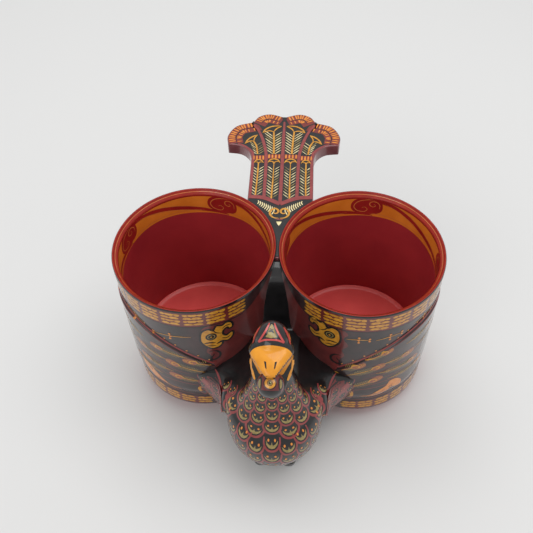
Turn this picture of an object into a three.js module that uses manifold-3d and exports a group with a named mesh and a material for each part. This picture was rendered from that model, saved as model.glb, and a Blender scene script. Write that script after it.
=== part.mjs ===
// Lacquered phoenix twin cup: two round wooden cups side by side, joined in front by a carved bird whose
// beak holds a pearl, behind by the bird's fan tail, and near the floor by a short bamboo tube.
// Millimetres, +Z up, the bird looks along -Y, and the table is at z = 0.
import * as THREE from "three";
import { mergeVertices } from "three/addons/utils/BufferGeometryUtils.js";
import Module from "manifold-3d";

const wasm = await Module();
wasm.setup();

// ---- driving dimensions ----
const GAP = 0.3; // clearance between glued neighbours

const CUP_X = 35.5; // cup axis to the plane of symmetry
const CUP_BASE_Z = 8;
const RIM_Z = 83;
const RIM_R = 35;
const BASE_R = 34.2;
const WALL = 2.4;
const FLOOR_TOP_Z = 17;
const FLOOR_RECESS = 0.3;
const COVE = 2.1; // width of the sloping edge round the cup's floor
const COVE_RISE = 1.1;

const TUBE_Z = 25;
const TUBE_R = 4;
const TUBE_BORE_R = 2.5;

const BELLY_Z = 4;
const BODY_BACK_Y = -14;
const RIDGE_BACK_Y = -5.5;
const RIDGE_TOP_Z = 80.5;
const CUP_FRONT_Y = -35.6;
const BREAST_Y = -47; // where the parallel sides of the body end and the breast rounds forwards
const NECK_JOINT_Z = 50;
const NECK_Y = -50;
const DOWEL_R = 2.5;
const DOWEL_HALF = 8;

const PEARL_R = 5.2;
const PEARL_Y = -62.5;
const PEARL_Z = 77;

const WING_RELIEF = 1.1;
const WING_FROM = 74; // degrees round the cup from the plane y = 0, counted towards the front
const WING_TO = 176;
const WING_LOW_Z = 18;

const TAIL_TOP_Z = 82.2;
const TAIL_THICK = 6;
const TAIL_HALF = 14.8;
const TAIL_NECK_END_Y = 57;
const TAIL_ROOT_Y = 9;
const WEDGE_BACK_Y = 33;
const WEDGE_LOW_Z = 50;

const FRONT_FOOT = { x: 6.2, y: -53, halfWidth: 3.6, halfLength: 6.5 };
const REAR_FOOT = { x: 40, y: 23, halfWidth: 5.5, halfLength: 7.5 };
const PEG_R = 1.5;
const FRONT_PEG_LENGTH = 9;
const REAR_PEG_LENGTH = 7;

const ROUND = 72; // segments of a full circle on the cups

// ---- finishes ----
const lacquer = (color, roughness = 0.18) =>
  new THREE.MeshStandardMaterial({ color, roughness, metalness: 0 });
const FINISH = {
  blackLacquer: lacquer(0x17120f),
  redLacquer: lacquer(0x8c1c1a, 0.3),
  pearl: lacquer(0x5d1a16, 0.12),
  bamboo: lacquer(0xb08a52, 0.6),
};

// ---- geometry helpers ----
const X = new THREE.Vector3(1, 0, 0);
const Y = new THREE.Vector3(0, 1, 0);
const Z = new THREE.Vector3(0, 0, 1);

function solid(geometry) {
  const bare = geometry.index ? geometry.toNonIndexed() : geometry.clone();
  bare.deleteAttribute("normal");
  bare.deleteAttribute("uv");
  const merged = mergeVertices(bare, 1e-4);
  const vertProperties = new Float32Array(merged.attributes.position.array);
  const triVerts = new Uint32Array(merged.index.array);
  return new wasm.Manifold(new wasm.Mesh({ numProp: 3, vertProperties, triVerts }));
}

function geometryOf(manifold) {
  const mesh = manifold.getMesh();
  const geometry = new THREE.BufferGeometry();
  geometry.setAttribute("position", new THREE.BufferAttribute(mesh.vertProperties, 3));
  geometry.setIndex(new THREE.BufferAttribute(mesh.triVerts, 1));
  geometry.computeVertexNormals();
  return geometry;
}

// A closed skin over rings of points, each ring anticlockwise seen from the last ring, with a fan on each end.
function loft(rings) {
  const count = rings[0].length;
  const points = rings.flat();
  const index = [];
  for (let r = 0; r < rings.length - 1; r++) {
    for (let i = 0; i < count; i++) {
      const a = r * count + i;
      const b = r * count + ((i + 1) % count);
      index.push(a, b, b + count, a, b + count, a + count);
    }
  }
  const capEnd = (ring, first, flip) => {
    const centre = new THREE.Vector3();
    ring.forEach((p) => centre.addScaledVector(p, 1 / count));
    const c = points.push(centre) - 1;
    for (let i = 0; i < count; i++) {
      const a = first + i;
      const b = first + ((i + 1) % count);
      index.push(...(flip ? [c, b, a] : [c, a, b]));
    }
  };
  capEnd(rings[0], 0, true);
  capEnd(rings.at(-1), (rings.length - 1) * count, false);
  const geometry = new THREE.BufferGeometry().setFromPoints(points);
  geometry.setIndex(index);
  return geometry;
}

// A solid turned about the vertical line through x, from a closed profile of [radius, z] pairs.
function turned(profile, x, segments = ROUND) {
  const geometry = new THREE.LatheGeometry(
    profile.map(([r, z]) => new THREE.Vector2(r, z)),
    segments,
  );
  return geometry.rotateX(Math.PI / 2).translate(x, 0, 0);
}

// A slab whose outline is drawn as (y, z), reaching halfWidth to each side of x = 0.
function sideProfile(outline, halfWidth) {
  const slab = new THREE.ExtrudeGeometry(outline, {
    depth: 2 * halfWidth,
    bevelEnabled: false,
    curveSegments: 10,
  });
  return slab.applyMatrix4(new THREE.Matrix4().makeBasis(Y, Z, X)).translate(-halfWidth, 0, 0);
}

function rod(radius, length, axis, centre, segments = 24) {
  const geometry = new THREE.CylinderGeometry(radius, radius, length, segments);
  if (axis === "x") geometry.rotateZ(Math.PI / 2);
  if (axis === "z") geometry.rotateX(Math.PI / 2);
  return geometry.translate(...centre);
}

const lerp = THREE.MathUtils.lerp;
const cupRadius = (z) => lerp(BASE_R, RIM_R, (z - CUP_BASE_Z) / (RIM_Z - CUP_BASE_Z));

// The two cups as full cones, a little larger, for cutting the pieces that are glued against them.
function cupCutter(clearance) {
  const low = -1;
  const high = RIM_Z + 5;
  const profile = [
    [0, low],
    [cupRadius(low) + clearance, low],
    [cupRadius(high) + clearance, high],
    [0, high],
  ];
  return solid(turned(profile, -CUP_X)).add(solid(turned(profile, CUP_X)));
}

// ---- cups ----
function cupWall(side) {
  const lip = 0.8;
  const profile = [
    [BASE_R, CUP_BASE_Z],
    [RIM_R, RIM_Z - lip],
    [RIM_R - 0.3, RIM_Z - 0.25],
    [RIM_R - WALL / 2, RIM_Z],
    [RIM_R - WALL + 0.3, RIM_Z - 0.25],
    [RIM_R - WALL, RIM_Z - lip],
    [BASE_R - WALL, CUP_BASE_Z],
    [BASE_R, CUP_BASE_Z],
  ];
  const tubeHole = solid(rod(TUBE_R + GAP, 10, "x", [side * (CUP_X - BASE_R), 0, TUBE_Z]));
  return geometryOf(solid(turned(profile, side * CUP_X)).subtract(tubeHole));
}

function cupFloor(side) {
  const edge = (z) => cupRadius(z) - WALL - GAP;
  const low = CUP_BASE_Z + FLOOR_RECESS;
  const high = FLOOR_TOP_Z + COVE_RISE;
  const profile = [
    [0, low],
    [edge(low), low],
    [edge(high), high],
    [edge(high) - COVE / 3, FLOOR_TOP_Z + COVE_RISE * 0.35],
    [edge(high) - COVE, FLOOR_TOP_Z],
    [0, FLOOR_TOP_Z],
  ];
  const x = side * REAR_FOOT.x;
  const pegHole = solid(rod(PEG_R + GAP, REAR_PEG_LENGTH, "z", [x, REAR_FOOT.y, CUP_BASE_Z + GAP]));
  return geometryOf(solid(turned(profile, side * CUP_X)).subtract(pegHole));
}

function connectingTube() {
  const half = CUP_X - cupRadius(TUBE_Z) + WALL;
  const outside = solid(rod(TUBE_R, 2 * half, "x", [0, 0, TUBE_Z]));
  const bore = solid(rod(TUBE_BORE_R, 4 * half, "x", [0, 0, TUBE_Z]));
  return geometryOf(outside.subtract(bore));
}

// ---- bird ----
// Plan sections of the chest: height, half width, how far forward the breast reaches, and how far the
// roots of the wings spread on to the cups.
const CHEST = [
  [BELLY_Z, 11, -57, 0],
  [6, 14.5, -61, 1],
  [11, 18, -65.8, 4],
  [18, 20.2, -69.4, 9.5],
  [27, 21, -71.8, 12.5],
  [35, 21, -71.4, 13],
  [39, 20.8, -69.2, 10],
  [42, 19.6, -66.6, 4],
  [46.5, 14.6, -62.4, 0],
  [NECK_JOINT_Z - GAP, 10.4, -59.5, 0],
];

function chestSection([z, half, front, spread]) {
  const right = [new THREE.Vector2(0, front)];
  const steps = 15;
  for (let i = 1; i <= steps; i++) {
    const t = (Math.PI / 2) * (i / steps);
    right.push(new THREE.Vector2(half * Math.sin(t), BREAST_Y + (front - BREAST_Y) * Math.cos(t)));
  }
  for (const share of [0.35, 0.6, 0.8, 1]) {
    const y = BREAST_Y + (CUP_FRONT_Y - BREAST_Y) * share;
    right.push(new THREE.Vector2(half + spread * share ** 1.35, y));
  }
  right.push(new THREE.Vector2(half + spread, BODY_BACK_Y));
  const left = right.slice(1).map((p) => new THREE.Vector2(-p.x, p.y));
  return [...left.reverse(), ...right].map((p) => new THREE.Vector3(p.x, p.y, z));
}

// The ridge of the back, seen from the side as (y, z): it climbs from the shoulders into the crease
// between the cups and stops short of the tube.
function backRidge() {
  const outline = new THREE.Shape();
  outline.moveTo(RIDGE_BACK_Y, BELLY_Z + 8);
  outline.lineTo(RIDGE_BACK_Y, RIDGE_TOP_Z);
  outline.lineTo(RIDGE_BACK_Y - 3, RIDGE_TOP_Z);
  outline.quadraticCurveTo(-16, 77, -17, 66);
  outline.quadraticCurveTo(-17.5, 46, -30, 43);
  outline.lineTo(-30, BELLY_Z + 8);
  outline.closePath();
  return sideProfile(outline, 16);
}

function birdBody() {
  const dowelHole = solid(rod(DOWEL_R + GAP, 2 * DOWEL_HALF, "z", [0, NECK_Y, NECK_JOINT_Z]));
  let body = solid(loft(CHEST.map(chestSection)))
    .add(solid(backRidge()))
    .subtract(cupCutter(GAP))
    .subtract(dowelHole);
  for (const side of [-1, 1]) {
    const centre = [side * FRONT_FOOT.x, FRONT_FOOT.y, BELLY_Z];
    body = body.subtract(solid(rod(PEG_R + GAP, FRONT_PEG_LENGTH, "z", centre)));
  }
  return geometryOf(body);
}

// Upright sections of the neck and skull: height, centre y, half width, half depth.
const NECK = [
  [NECK_JOINT_Z, -50, 10.2, 9.2],
  [54, -50, 8.6, 8.3],
  [60, -49.4, 7.8, 7.8],
  [68, -49, 7.7, 8],
  [76, -48.8, 8, 8.6],
  [82, -48.6, 8, 8.6],
  [87, -48.2, 7, 7.4],
  [90, -47.9, 5.2, 5.4],
  [92, -47.6, 2, 2.2],
];

function ovalRing(centre, halfA, halfB, axisA, axisB, steps = 28) {
  const ring = [];
  for (let i = 0; i < steps; i++) {
    const t = (2 * Math.PI * i) / steps;
    ring.push(
      centre.clone().addScaledVector(axisA, halfA * Math.cos(t)).addScaledVector(axisB, halfB * Math.sin(t)),
    );
  }
  return ring;
}

// Sections of a beak half, from the skull forwards: y, middle height, half width, half height.
const UPPER_BEAK = [
  [-49, 84.3, 6.6, 4],
  [-53, 84.9, 6.8, 3.8],
  [-57, 85.1, 5.4, 2.5],
  [-60.5, 84.5, 3.6, 1.7],
  [-63.4, 83.6, 1.8, 1],
];
const LOWER_BEAK = [
  [-49, 75, 7, 5.4],
  [-53, 74.6, 7.4, 5],
  [-57, 73.8, 6.6, 4],
  [-60.5, 72.6, 5.4, 3.2],
  [-64, 72, 3.2, 1.7],
];

const beak = (sections) =>
  solid(loft(sections.map(([y, z, a, b]) => ovalRing(new THREE.Vector3(0, y, z), a, b, X, Z, 24))));

function birdHead() {
  const neck = solid(
    loft(NECK.map(([z, y, a, b]) => ovalRing(new THREE.Vector3(0, y, z), a, b, X, Y))),
  );
  const room = new THREE.SphereGeometry(PEARL_R + GAP, 28, 18).translate(0, PEARL_Y, PEARL_Z);
  const dowelHole = rod(DOWEL_R + GAP, 2 * DOWEL_HALF, "z", [0, NECK_Y, NECK_JOINT_Z]);
  return geometryOf(
    neck
      .add(beak(UPPER_BEAK))
      .add(beak(LOWER_BEAK))
      .subtract(solid(room))
      .subtract(solid(dowelHole)),
  );
}

const neckDowel = () => rod(DOWEL_R, 2 * DOWEL_HALF - 2 * GAP, "z", [0, NECK_Y, NECK_JOINT_Z]);
const pearl = () => new THREE.SphereGeometry(PEARL_R, 28, 18).translate(0, PEARL_Y, PEARL_Z);

// ---- wings: low relief on the front of each cup ----
// Height of the wing's upper edge at a share of its way round the cup.
const wingTop = (share) => 42.5 + 26 * Math.sin(Math.min(1, share * 1.3) * (Math.PI / 2));
const wingLow = (share) => WING_LOW_Z + 2 * share + 65 * Math.max(0, share - 0.55) ** 1.6;

function wing(side) {
  const around = 40;
  const rings = [];
  for (let i = 0; i <= around; i++) {
    const share = i / around;
    const angle = THREE.MathUtils.degToRad(lerp(WING_FROM, WING_TO, share));
    const at = (z, proud) => {
      const r = cupRadius(z) + proud;
      return new THREE.Vector3(side * (CUP_X - r * Math.cos(angle)), -r * Math.sin(angle), z);
    };
    const low = wingLow(share);
    const high = Math.max(low + 1.5, wingTop(share));
    const middle = (low + high) / 2;
    const corners = [
      at(low, GAP),
      at(low, WING_RELIEF * 0.6),
      at(middle, WING_RELIEF),
      at(high, WING_RELIEF),
      at(high, GAP),
      at(middle, GAP),
    ];
    rings.push(side < 0 ? corners : corners.reverse());
  }
  return geometryOf(solid(loft(rings)).subtract(solid(loft(CHEST.map(grownSection)))));
}

// The chest grown by the gap, which the wings' roots are cut back from.
const grownSection = ([z, half, front, spread], i) =>
  chestSection([i === 0 ? z - GAP : z + GAP, half + GAP, front - GAP, spread]);

// ---- tail ----
// Corners of the fan on the +X side, each stretch a smooth curve that begins where the last one ended.
const FAN_STRETCHES = [
  [[TAIL_HALF, TAIL_NECK_END_Y], [16.4, 61.6], [20.4, 65.4], [26.8, 66.6]],
  [[26.8, 66.6], [27.4, 73], [23.6, 80.2], [15.6, 83.4]],
  [[15.6, 83.4], [12.6, 88], [7.2, 89.8], [0, 87.4]],
];

function tailOutline() {
  const right = [new THREE.Vector2(TAIL_HALF, TAIL_ROOT_Y)];
  for (const stretch of FAN_STRETCHES) {
    const curve = new THREE.SplineCurve(stretch.map(([x, y]) => new THREE.Vector2(x, y)));
    right.push(...curve.getPoints(8).slice(right.length > 1 ? 1 : 0));
  }
  const left = right.slice(0, -1).map((p) => new THREE.Vector2(-p.x, p.y));
  return new THREE.Shape([...right, ...left.reverse()]);
}

function tailFan() {
  const bevel = 0.5;
  const plate = new THREE.ExtrudeGeometry(tailOutline(), {
    depth: TAIL_THICK - 2 * bevel,
    curveSegments: 8,
    bevelSize: bevel,
    bevelThickness: bevel,
    bevelOffset: -bevel,
    bevelSegments: 2,
  }).translate(0, 0, TAIL_TOP_Z - TAIL_THICK + bevel);
  const wedge = new THREE.Shape();
  wedge.moveTo(TAIL_ROOT_Y + 0.5, TAIL_TOP_Z - 1);
  wedge.lineTo(TAIL_ROOT_Y + 0.5, WEDGE_LOW_Z);
  wedge.lineTo(WEDGE_BACK_Y - 12, WEDGE_LOW_Z);
  wedge.quadraticCurveTo(WEDGE_BACK_Y, WEDGE_LOW_Z + 8, WEDGE_BACK_Y + 6, TAIL_TOP_Z - TAIL_THICK + 1);
  wedge.lineTo(WEDGE_BACK_Y + 6, TAIL_TOP_Z - 1);
  wedge.closePath();
  const block = sideProfile(wedge, TAIL_HALF - 1);
  return geometryOf(solid(plate).add(solid(block)).subtract(cupCutter(GAP)));
}

// ---- feet ----
function footPad({ x, y, halfWidth, halfLength }, side, top, hole) {
  const levels = [
    [0, 0.86],
    [0.6, 0.94],
    [top * 0.5, 0.92],
    [top, 1],
  ];
  const rings = levels.map(([z, scale]) =>
    ovalRing(new THREE.Vector3(side * x, y, z), halfWidth * scale, halfLength * scale, X, Y, 28),
  );
  const bore = rod(PEG_R + GAP, hole, "z", [side * x, y, top]);
  return geometryOf(solid(loft(rings)).subtract(solid(bore)));
}

const frontFoot = (side) => footPad(FRONT_FOOT, side, BELLY_Z - GAP, 4);
const rearFoot = (side) => footPad(REAR_FOOT, side, CUP_BASE_Z - GAP, REAR_PEG_LENGTH);
const frontPeg = (side) =>
  rod(PEG_R, 5.6, "z", [side * FRONT_FOOT.x, FRONT_FOOT.y, BELLY_Z + 1], 16);
const rearPeg = (side) =>
  rod(PEG_R, REAR_PEG_LENGTH - 1, "z", [side * REAR_FOOT.x, REAR_FOOT.y, CUP_BASE_Z], 16);

// ---- assembly ----
const twinCup = new THREE.Group();

function add(name, geometry, material) {
  const mesh = new THREE.Mesh(geometry, material);
  mesh.name = name;
  twinCup.add(mesh);
}

for (const [label, side] of [
  ["left", -1],
  ["right", 1],
]) {
  add(label + "_cup_wall", cupWall(side), FINISH.blackLacquer);
  add(label + "_cup_floor", cupFloor(side), FINISH.redLacquer);
  add(label + "_wing", wing(side), FINISH.blackLacquer);
  add(label + "_front_foot", frontFoot(side), FINISH.blackLacquer);
  add(label + "_front_foot_peg", frontPeg(side), FINISH.bamboo);
  add(label + "_rear_foot", rearFoot(side), FINISH.blackLacquer);
  add(label + "_rear_foot_peg", rearPeg(side), FINISH.bamboo);
}
add("connecting_tube", connectingTube(), FINISH.bamboo);
add("bird_body", birdBody(), FINISH.blackLacquer);
add("bird_head", birdHead(), FINISH.blackLacquer);
add("neck_dowel", neckDowel(), FINISH.bamboo);
add("beak_pearl", pearl(), FINISH.pearl);
add("tail_fan", tailFan(), FINISH.blackLacquer);

// The origin is the middle of the box round the object, on the table.
const extent = new THREE.Box3().setFromObject(twinCup);
twinCup.position.y = -(extent.min.y + extent.max.y) / 2;

export default twinCup;
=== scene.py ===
"""Looks of a lacquered phoenix twin cup: two painted wooden cups, a carved bird and its fan tail.

Sizes are in millimetres until a mesh is built, and heights are above the table. The painting is laid on as
thin brush strokes over each lacquered surface, in one mesh for each colour of each region. Places on the
bird and the tail count sideways from the plane of symmetry and backwards from the cups' middles.
"""

import math
import random

import bmesh
import bpy
from mathutils import Matrix, Vector
from mathutils.bvhtree import BVHTree
from mathutils.geometry import delaunay_2d_cdt


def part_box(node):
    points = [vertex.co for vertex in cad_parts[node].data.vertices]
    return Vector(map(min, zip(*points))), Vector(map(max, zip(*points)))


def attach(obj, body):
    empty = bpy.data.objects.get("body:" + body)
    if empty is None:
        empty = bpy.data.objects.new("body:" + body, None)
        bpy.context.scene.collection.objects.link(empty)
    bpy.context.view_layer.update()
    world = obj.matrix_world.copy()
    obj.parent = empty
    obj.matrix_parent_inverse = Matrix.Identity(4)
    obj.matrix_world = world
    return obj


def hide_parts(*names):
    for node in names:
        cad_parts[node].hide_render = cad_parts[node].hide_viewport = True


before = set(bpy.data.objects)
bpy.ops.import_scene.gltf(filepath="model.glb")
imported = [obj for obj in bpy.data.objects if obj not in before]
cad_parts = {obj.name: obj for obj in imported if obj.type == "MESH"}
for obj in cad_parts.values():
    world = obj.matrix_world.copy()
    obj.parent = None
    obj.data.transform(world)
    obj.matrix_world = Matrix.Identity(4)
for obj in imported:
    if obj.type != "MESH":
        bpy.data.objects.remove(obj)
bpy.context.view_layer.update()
random.seed(7)

MM = 0.001

# ---- sizes taken from the CAD frame ----


def node_box(node):
    """The lowest and highest corner of a CAD node, in millimetres."""
    return [[c / MM for c in corner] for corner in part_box(node)]


WALL_LOW, WALL_HIGH = node_box("right_cup_wall")
RIM_R = (WALL_HIGH[0] - WALL_LOW[0]) / 2
CUP_X = (WALL_HIGH[0] + WALL_LOW[0]) / 2
CUP_Y = (WALL_HIGH[1] + WALL_LOW[1]) / 2
BASE_Z = WALL_LOW[2]
RIM_Z = WALL_HIGH[2]
TAIL_LOW, TAIL_HIGH = node_box("tail_fan")
TAIL_TOP_Z = TAIL_HIGH[2]
PEARL_LOW, PEARL_HIGH = node_box("beak_pearl")
PEARL_R = (PEARL_HIGH[2] - PEARL_LOW[2]) / 2
PEARL_Y = (PEARL_HIGH[1] + PEARL_LOW[1]) / 2 - CUP_Y
PEARL_Z = (PEARL_HIGH[2] + PEARL_LOW[2]) / 2

# ---- sizes the CAD part also has ----
BASE_R = 34.2
WALL = 2.4
FLOOR_TOP_Z = 17.0
COVE = 2.1
COVE_RISE = 1.1
TAIL_THICK = 6.0
TAIL_HALF = 14.8
ROOT_FRONT_Y = -5.0
WING_RELIEF = 1.1
WING_FROM = math.radians(74)
WING_TO = math.radians(176)

CUP_SEGMENTS = 256


def wall_radius(z):
    """Outer radius of a cup at a height."""
    return BASE_R + (RIM_R - BASE_R) * (z - BASE_Z) / (RIM_Z - BASE_Z)


# ---- materials ----


def rgb(red, green, blue):
    """An sRGB colour, 0 to 255 a channel, as linear RGBA."""

    def linear(c):
        c /= 255
        return c / 12.92 if c <= 0.04045 else ((c + 0.055) / 1.055) ** 2.4

    return (linear(red), linear(green), linear(blue), 1.0)


ROUGHNESS = (0.3, 0.42)
BRUSH_RELIEF = 0.02


def lacquer(name, low, high, scale=180.0, coat=1.0, coat_roughness=0.08, coat_ior=1.48):
    """Glossy lacquer whose colour drifts between two shades, slightly uneven under its clear coat."""
    material = bpy.data.materials.new(name)
    material.use_nodes = True
    tree = material.node_tree
    bsdf = tree.nodes["Principled BSDF"]
    place = tree.nodes.new("ShaderNodeTexCoord")

    drift = tree.nodes.new("ShaderNodeTexNoise")
    drift.inputs["Scale"].default_value = scale
    drift.inputs["Detail"].default_value = 5.0
    tree.links.new(place.outputs["Object"], drift.inputs["Vector"])
    ramp = tree.nodes.new("ShaderNodeValToRGB")
    ramp.color_ramp.elements[0].position = 0.34
    ramp.color_ramp.elements[0].color = low
    ramp.color_ramp.elements[1].position = 0.66
    ramp.color_ramp.elements[1].color = high
    tree.links.new(drift.outputs["Fac"], ramp.inputs["Fac"])
    tree.links.new(ramp.outputs["Color"], bsdf.inputs["Base Color"])

    grain = tree.nodes.new("ShaderNodeTexNoise")
    grain.inputs["Scale"].default_value = scale * 6
    grain.inputs["Detail"].default_value = 3.0
    tree.links.new(place.outputs["Object"], grain.inputs["Vector"])
    spread = tree.nodes.new("ShaderNodeMapRange")
    spread.inputs["To Min"].default_value = ROUGHNESS[0]
    spread.inputs["To Max"].default_value = ROUGHNESS[1]
    tree.links.new(grain.outputs["Fac"], spread.inputs["Value"])
    tree.links.new(spread.outputs["Result"], bsdf.inputs["Roughness"])

    bump = tree.nodes.new("ShaderNodeBump")
    bump.inputs["Strength"].default_value = 0.35
    bump.inputs["Distance"].default_value = BRUSH_RELIEF * MM
    tree.links.new(grain.outputs["Fac"], bump.inputs["Height"])
    tree.links.new(bump.outputs["Normal"], bsdf.inputs["Normal"])

    bsdf.inputs["Specular IOR Level"].default_value = 0.2
    bsdf.inputs["Coat Weight"].default_value = coat
    bsdf.inputs["Coat Roughness"].default_value = coat_roughness
    bsdf.inputs["Coat IOR"].default_value = coat_ior
    return material


BLACK = lacquer("black_lacquer", rgb(12, 11, 12), rgb(26, 24, 25))
OUTER_BLACK = lacquer("outer_black_lacquer", rgb(30, 20, 21), rgb(58, 35, 36), 150)
CRIMSON = lacquer(
    "crimson_lacquer", rgb(150, 40, 48), rgb(162, 46, 52), 60, coat=0.3, coat_roughness=0.3, coat_ior=1.5
)
FLOOR_RED = lacquer(
    "floor_red_lacquer", rgb(228, 86, 84), rgb(240, 96, 92), 60, coat=0.3, coat_roughness=0.25, coat_ior=1.5
)
LIP_RED = lacquer("lip_red_lacquer", rgb(142, 34, 24), rgb(156, 42, 28), coat=0.15)
DEEP_RED = lacquer("deep_red_paint", rgb(140, 28, 26), rgb(156, 36, 32), 120, coat=0.3)
THIN_OCHRE = lacquer("light_ochre_paint", rgb(196, 108, 52), rgb(212, 126, 66), 300)
LOBE_RED = lacquer("lobe_red_paint", rgb(112, 34, 28), rgb(128, 42, 34), 300)
SALMON = lacquer("salmon_paint", rgb(142, 76, 46), rgb(164, 92, 54), 900)
MAUVE_SIDE = lacquer("mauve_brown_lacquer", rgb(116, 62, 66), rgb(132, 76, 78))
RED_BROWN = lacquer("red_brown_lacquer", rgb(96, 34, 33), rgb(112, 42, 39))
GOLD = lacquer("gold_paint", rgb(186, 124, 28), rgb(212, 150, 44), 500)
OLIVE = lacquer("olive_gold_paint", rgb(128, 112, 62), rgb(160, 140, 82), 500)
CREAM = lacquer("cream_paint", rgb(214, 196, 140), rgb(238, 222, 172), 500)
ORANGE = lacquer("orange_paint", rgb(208, 120, 36), rgb(226, 142, 52), 500)
OCHRE = lacquer("ochre_paint", rgb(208, 118, 34), rgb(222, 132, 44), 120, coat=0.3)
MAUVE = lacquer("mauve_red_paint", rgb(128, 48, 48), rgb(146, 60, 58), 400)
CORAL = lacquer("coral_paint", rgb(178, 62, 60), rgb(196, 78, 72), 400)
BEAK_ORANGE = lacquer("beak_orange_lacquer", rgb(214, 138, 28), rgb(228, 152, 40), 300, coat=0.6)
BAMBOO = lacquer("bamboo", rgb(150, 116, 66), rgb(178, 142, 88), 300, coat=0.1)

# ---- building meshes ----


def make_piece(name, verts, faces, materials, slot, replaces=(), indices=None, smooth=True):
    """A mesh given in millimetres, as an object that rides on the one body."""
    mesh = bpy.data.meshes.new(name)
    mesh.from_pydata([tuple(c * MM for c in v) for v in verts], [], faces)
    for material in materials:
        mesh.materials.append(material)
    if indices:
        mesh.polygons.foreach_set("material_index", indices)
    mesh.polygons.foreach_set("use_smooth", [smooth] * len(mesh.polygons))
    mesh.update()
    piece = bpy.data.objects.new(name, mesh)
    bpy.context.scene.collection.objects.link(piece)
    settle(piece, slot, replaces)
    return piece


def flatten_shading(piece, material_index):
    """Flat shading on the faces of one material, so that a level top reflects like one."""
    for polygon in piece.data.polygons:
        if polygon.material_index == material_index:
            polygon.use_smooth = False


def settle(piece, slot, replaces=()):
    """Puts a finished piece on the root body and hides the CAD nodes that it stands for; slot is not used."""
    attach(piece, "root")
    if replaces:
        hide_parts(*replaces)


def loft(rings):
    """Vertices and faces of a closed skin over equal rings, with a fan on each end."""
    count = len(rings[0])
    verts = [tuple(p) for ring in rings for p in ring]
    faces = []
    for r in range(len(rings) - 1):
        for i in range(count):
            a = r * count + i
            b = r * count + (i + 1) % count
            faces.append((a, b, b + count, a + count))
    for ring, first, flip in ((rings[0], 0, True), (rings[-1], (len(rings) - 1) * count, False)):
        centre = sum((Vector(p) for p in ring), Vector()) / count
        verts.append(tuple(centre))
        c = len(verts) - 1
        for i in range(count):
            a, b = first + i, first + (i + 1) % count
            faces.append((c, b, a) if flip else (c, a, b))
    return verts, faces


def revolve(profile, centre_x, segments=CUP_SEGMENTS, closed=True):
    """A (radius, height) profile turned about the upright line through a cup's middle."""
    verts = []
    faces = []
    for i in range(segments):
        turn = 2 * math.pi * i / segments
        for r, z in profile:
            verts.append((centre_x + r * math.cos(turn), CUP_Y + r * math.sin(turn), z))
    n = len(profile)
    for i in range(segments):
        j = (i + 1) % segments
        for k in range(n if closed else n - 1):
            m = (k + 1) % n
            faces.append((i * n + k, j * n + k, j * n + m, i * n + m))
    return verts, faces


def between(a, b, c, d, t):
    """The smooth curve from b to c through four values or places, at a share t."""
    return 0.5 * (2 * b + (c - a) * t + (2 * a - 5 * b + 4 * c - d) * t * t + (3 * b - a - 3 * c + d) * t**3)


def spline(points, step=0.6, closed=False):
    """A smooth run of points through the given ones."""
    points = [Vector(p) for p in points]
    if len(points) < 3 and not closed:
        a, b = points[0], points[-1]
        n = max(1, math.ceil((b - a).length / step))
        return [a.lerp(b, i / n) for i in range(n + 1)]
    n = len(points)
    out = []
    last = n if closed else n - 1
    for i in range(last):
        p1, p2 = points[i], points[(i + 1) % n]
        p0 = points[i - 1] if closed or i > 0 else p1 * 2 - p2
        p3 = points[(i + 2) % n] if closed or i < n - 2 else p2 * 2 - p1
        pieces = max(1, math.ceil((p2 - p1).length / step))
        for k in range(pieces):
            out.append(between(p0, p1, p2, p3, k / pieces))
    if not closed:
        out.append(points[-1])
    return out


def moved(points, origin):
    """Flat points counted from an origin of their own."""
    return [origin + Vector(p) for p in points]


def table(rows, steps):
    """Rows of numbers filled in smoothly, steps to each interval."""
    out = []
    n = len(rows)
    for i in range(n - 1):
        p1, p2 = rows[i], rows[i + 1]
        p0 = rows[i - 1] if i else p1
        p3 = rows[i + 2] if i < n - 2 else p2
        for k in range(steps):
            t = k / steps
            out.append([between(a, b, c, d, t) for a, b, c, d in zip(p0, p1, p2, p3)])
    out.append(list(rows[-1]))
    return out


# ---- painting ----


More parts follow.
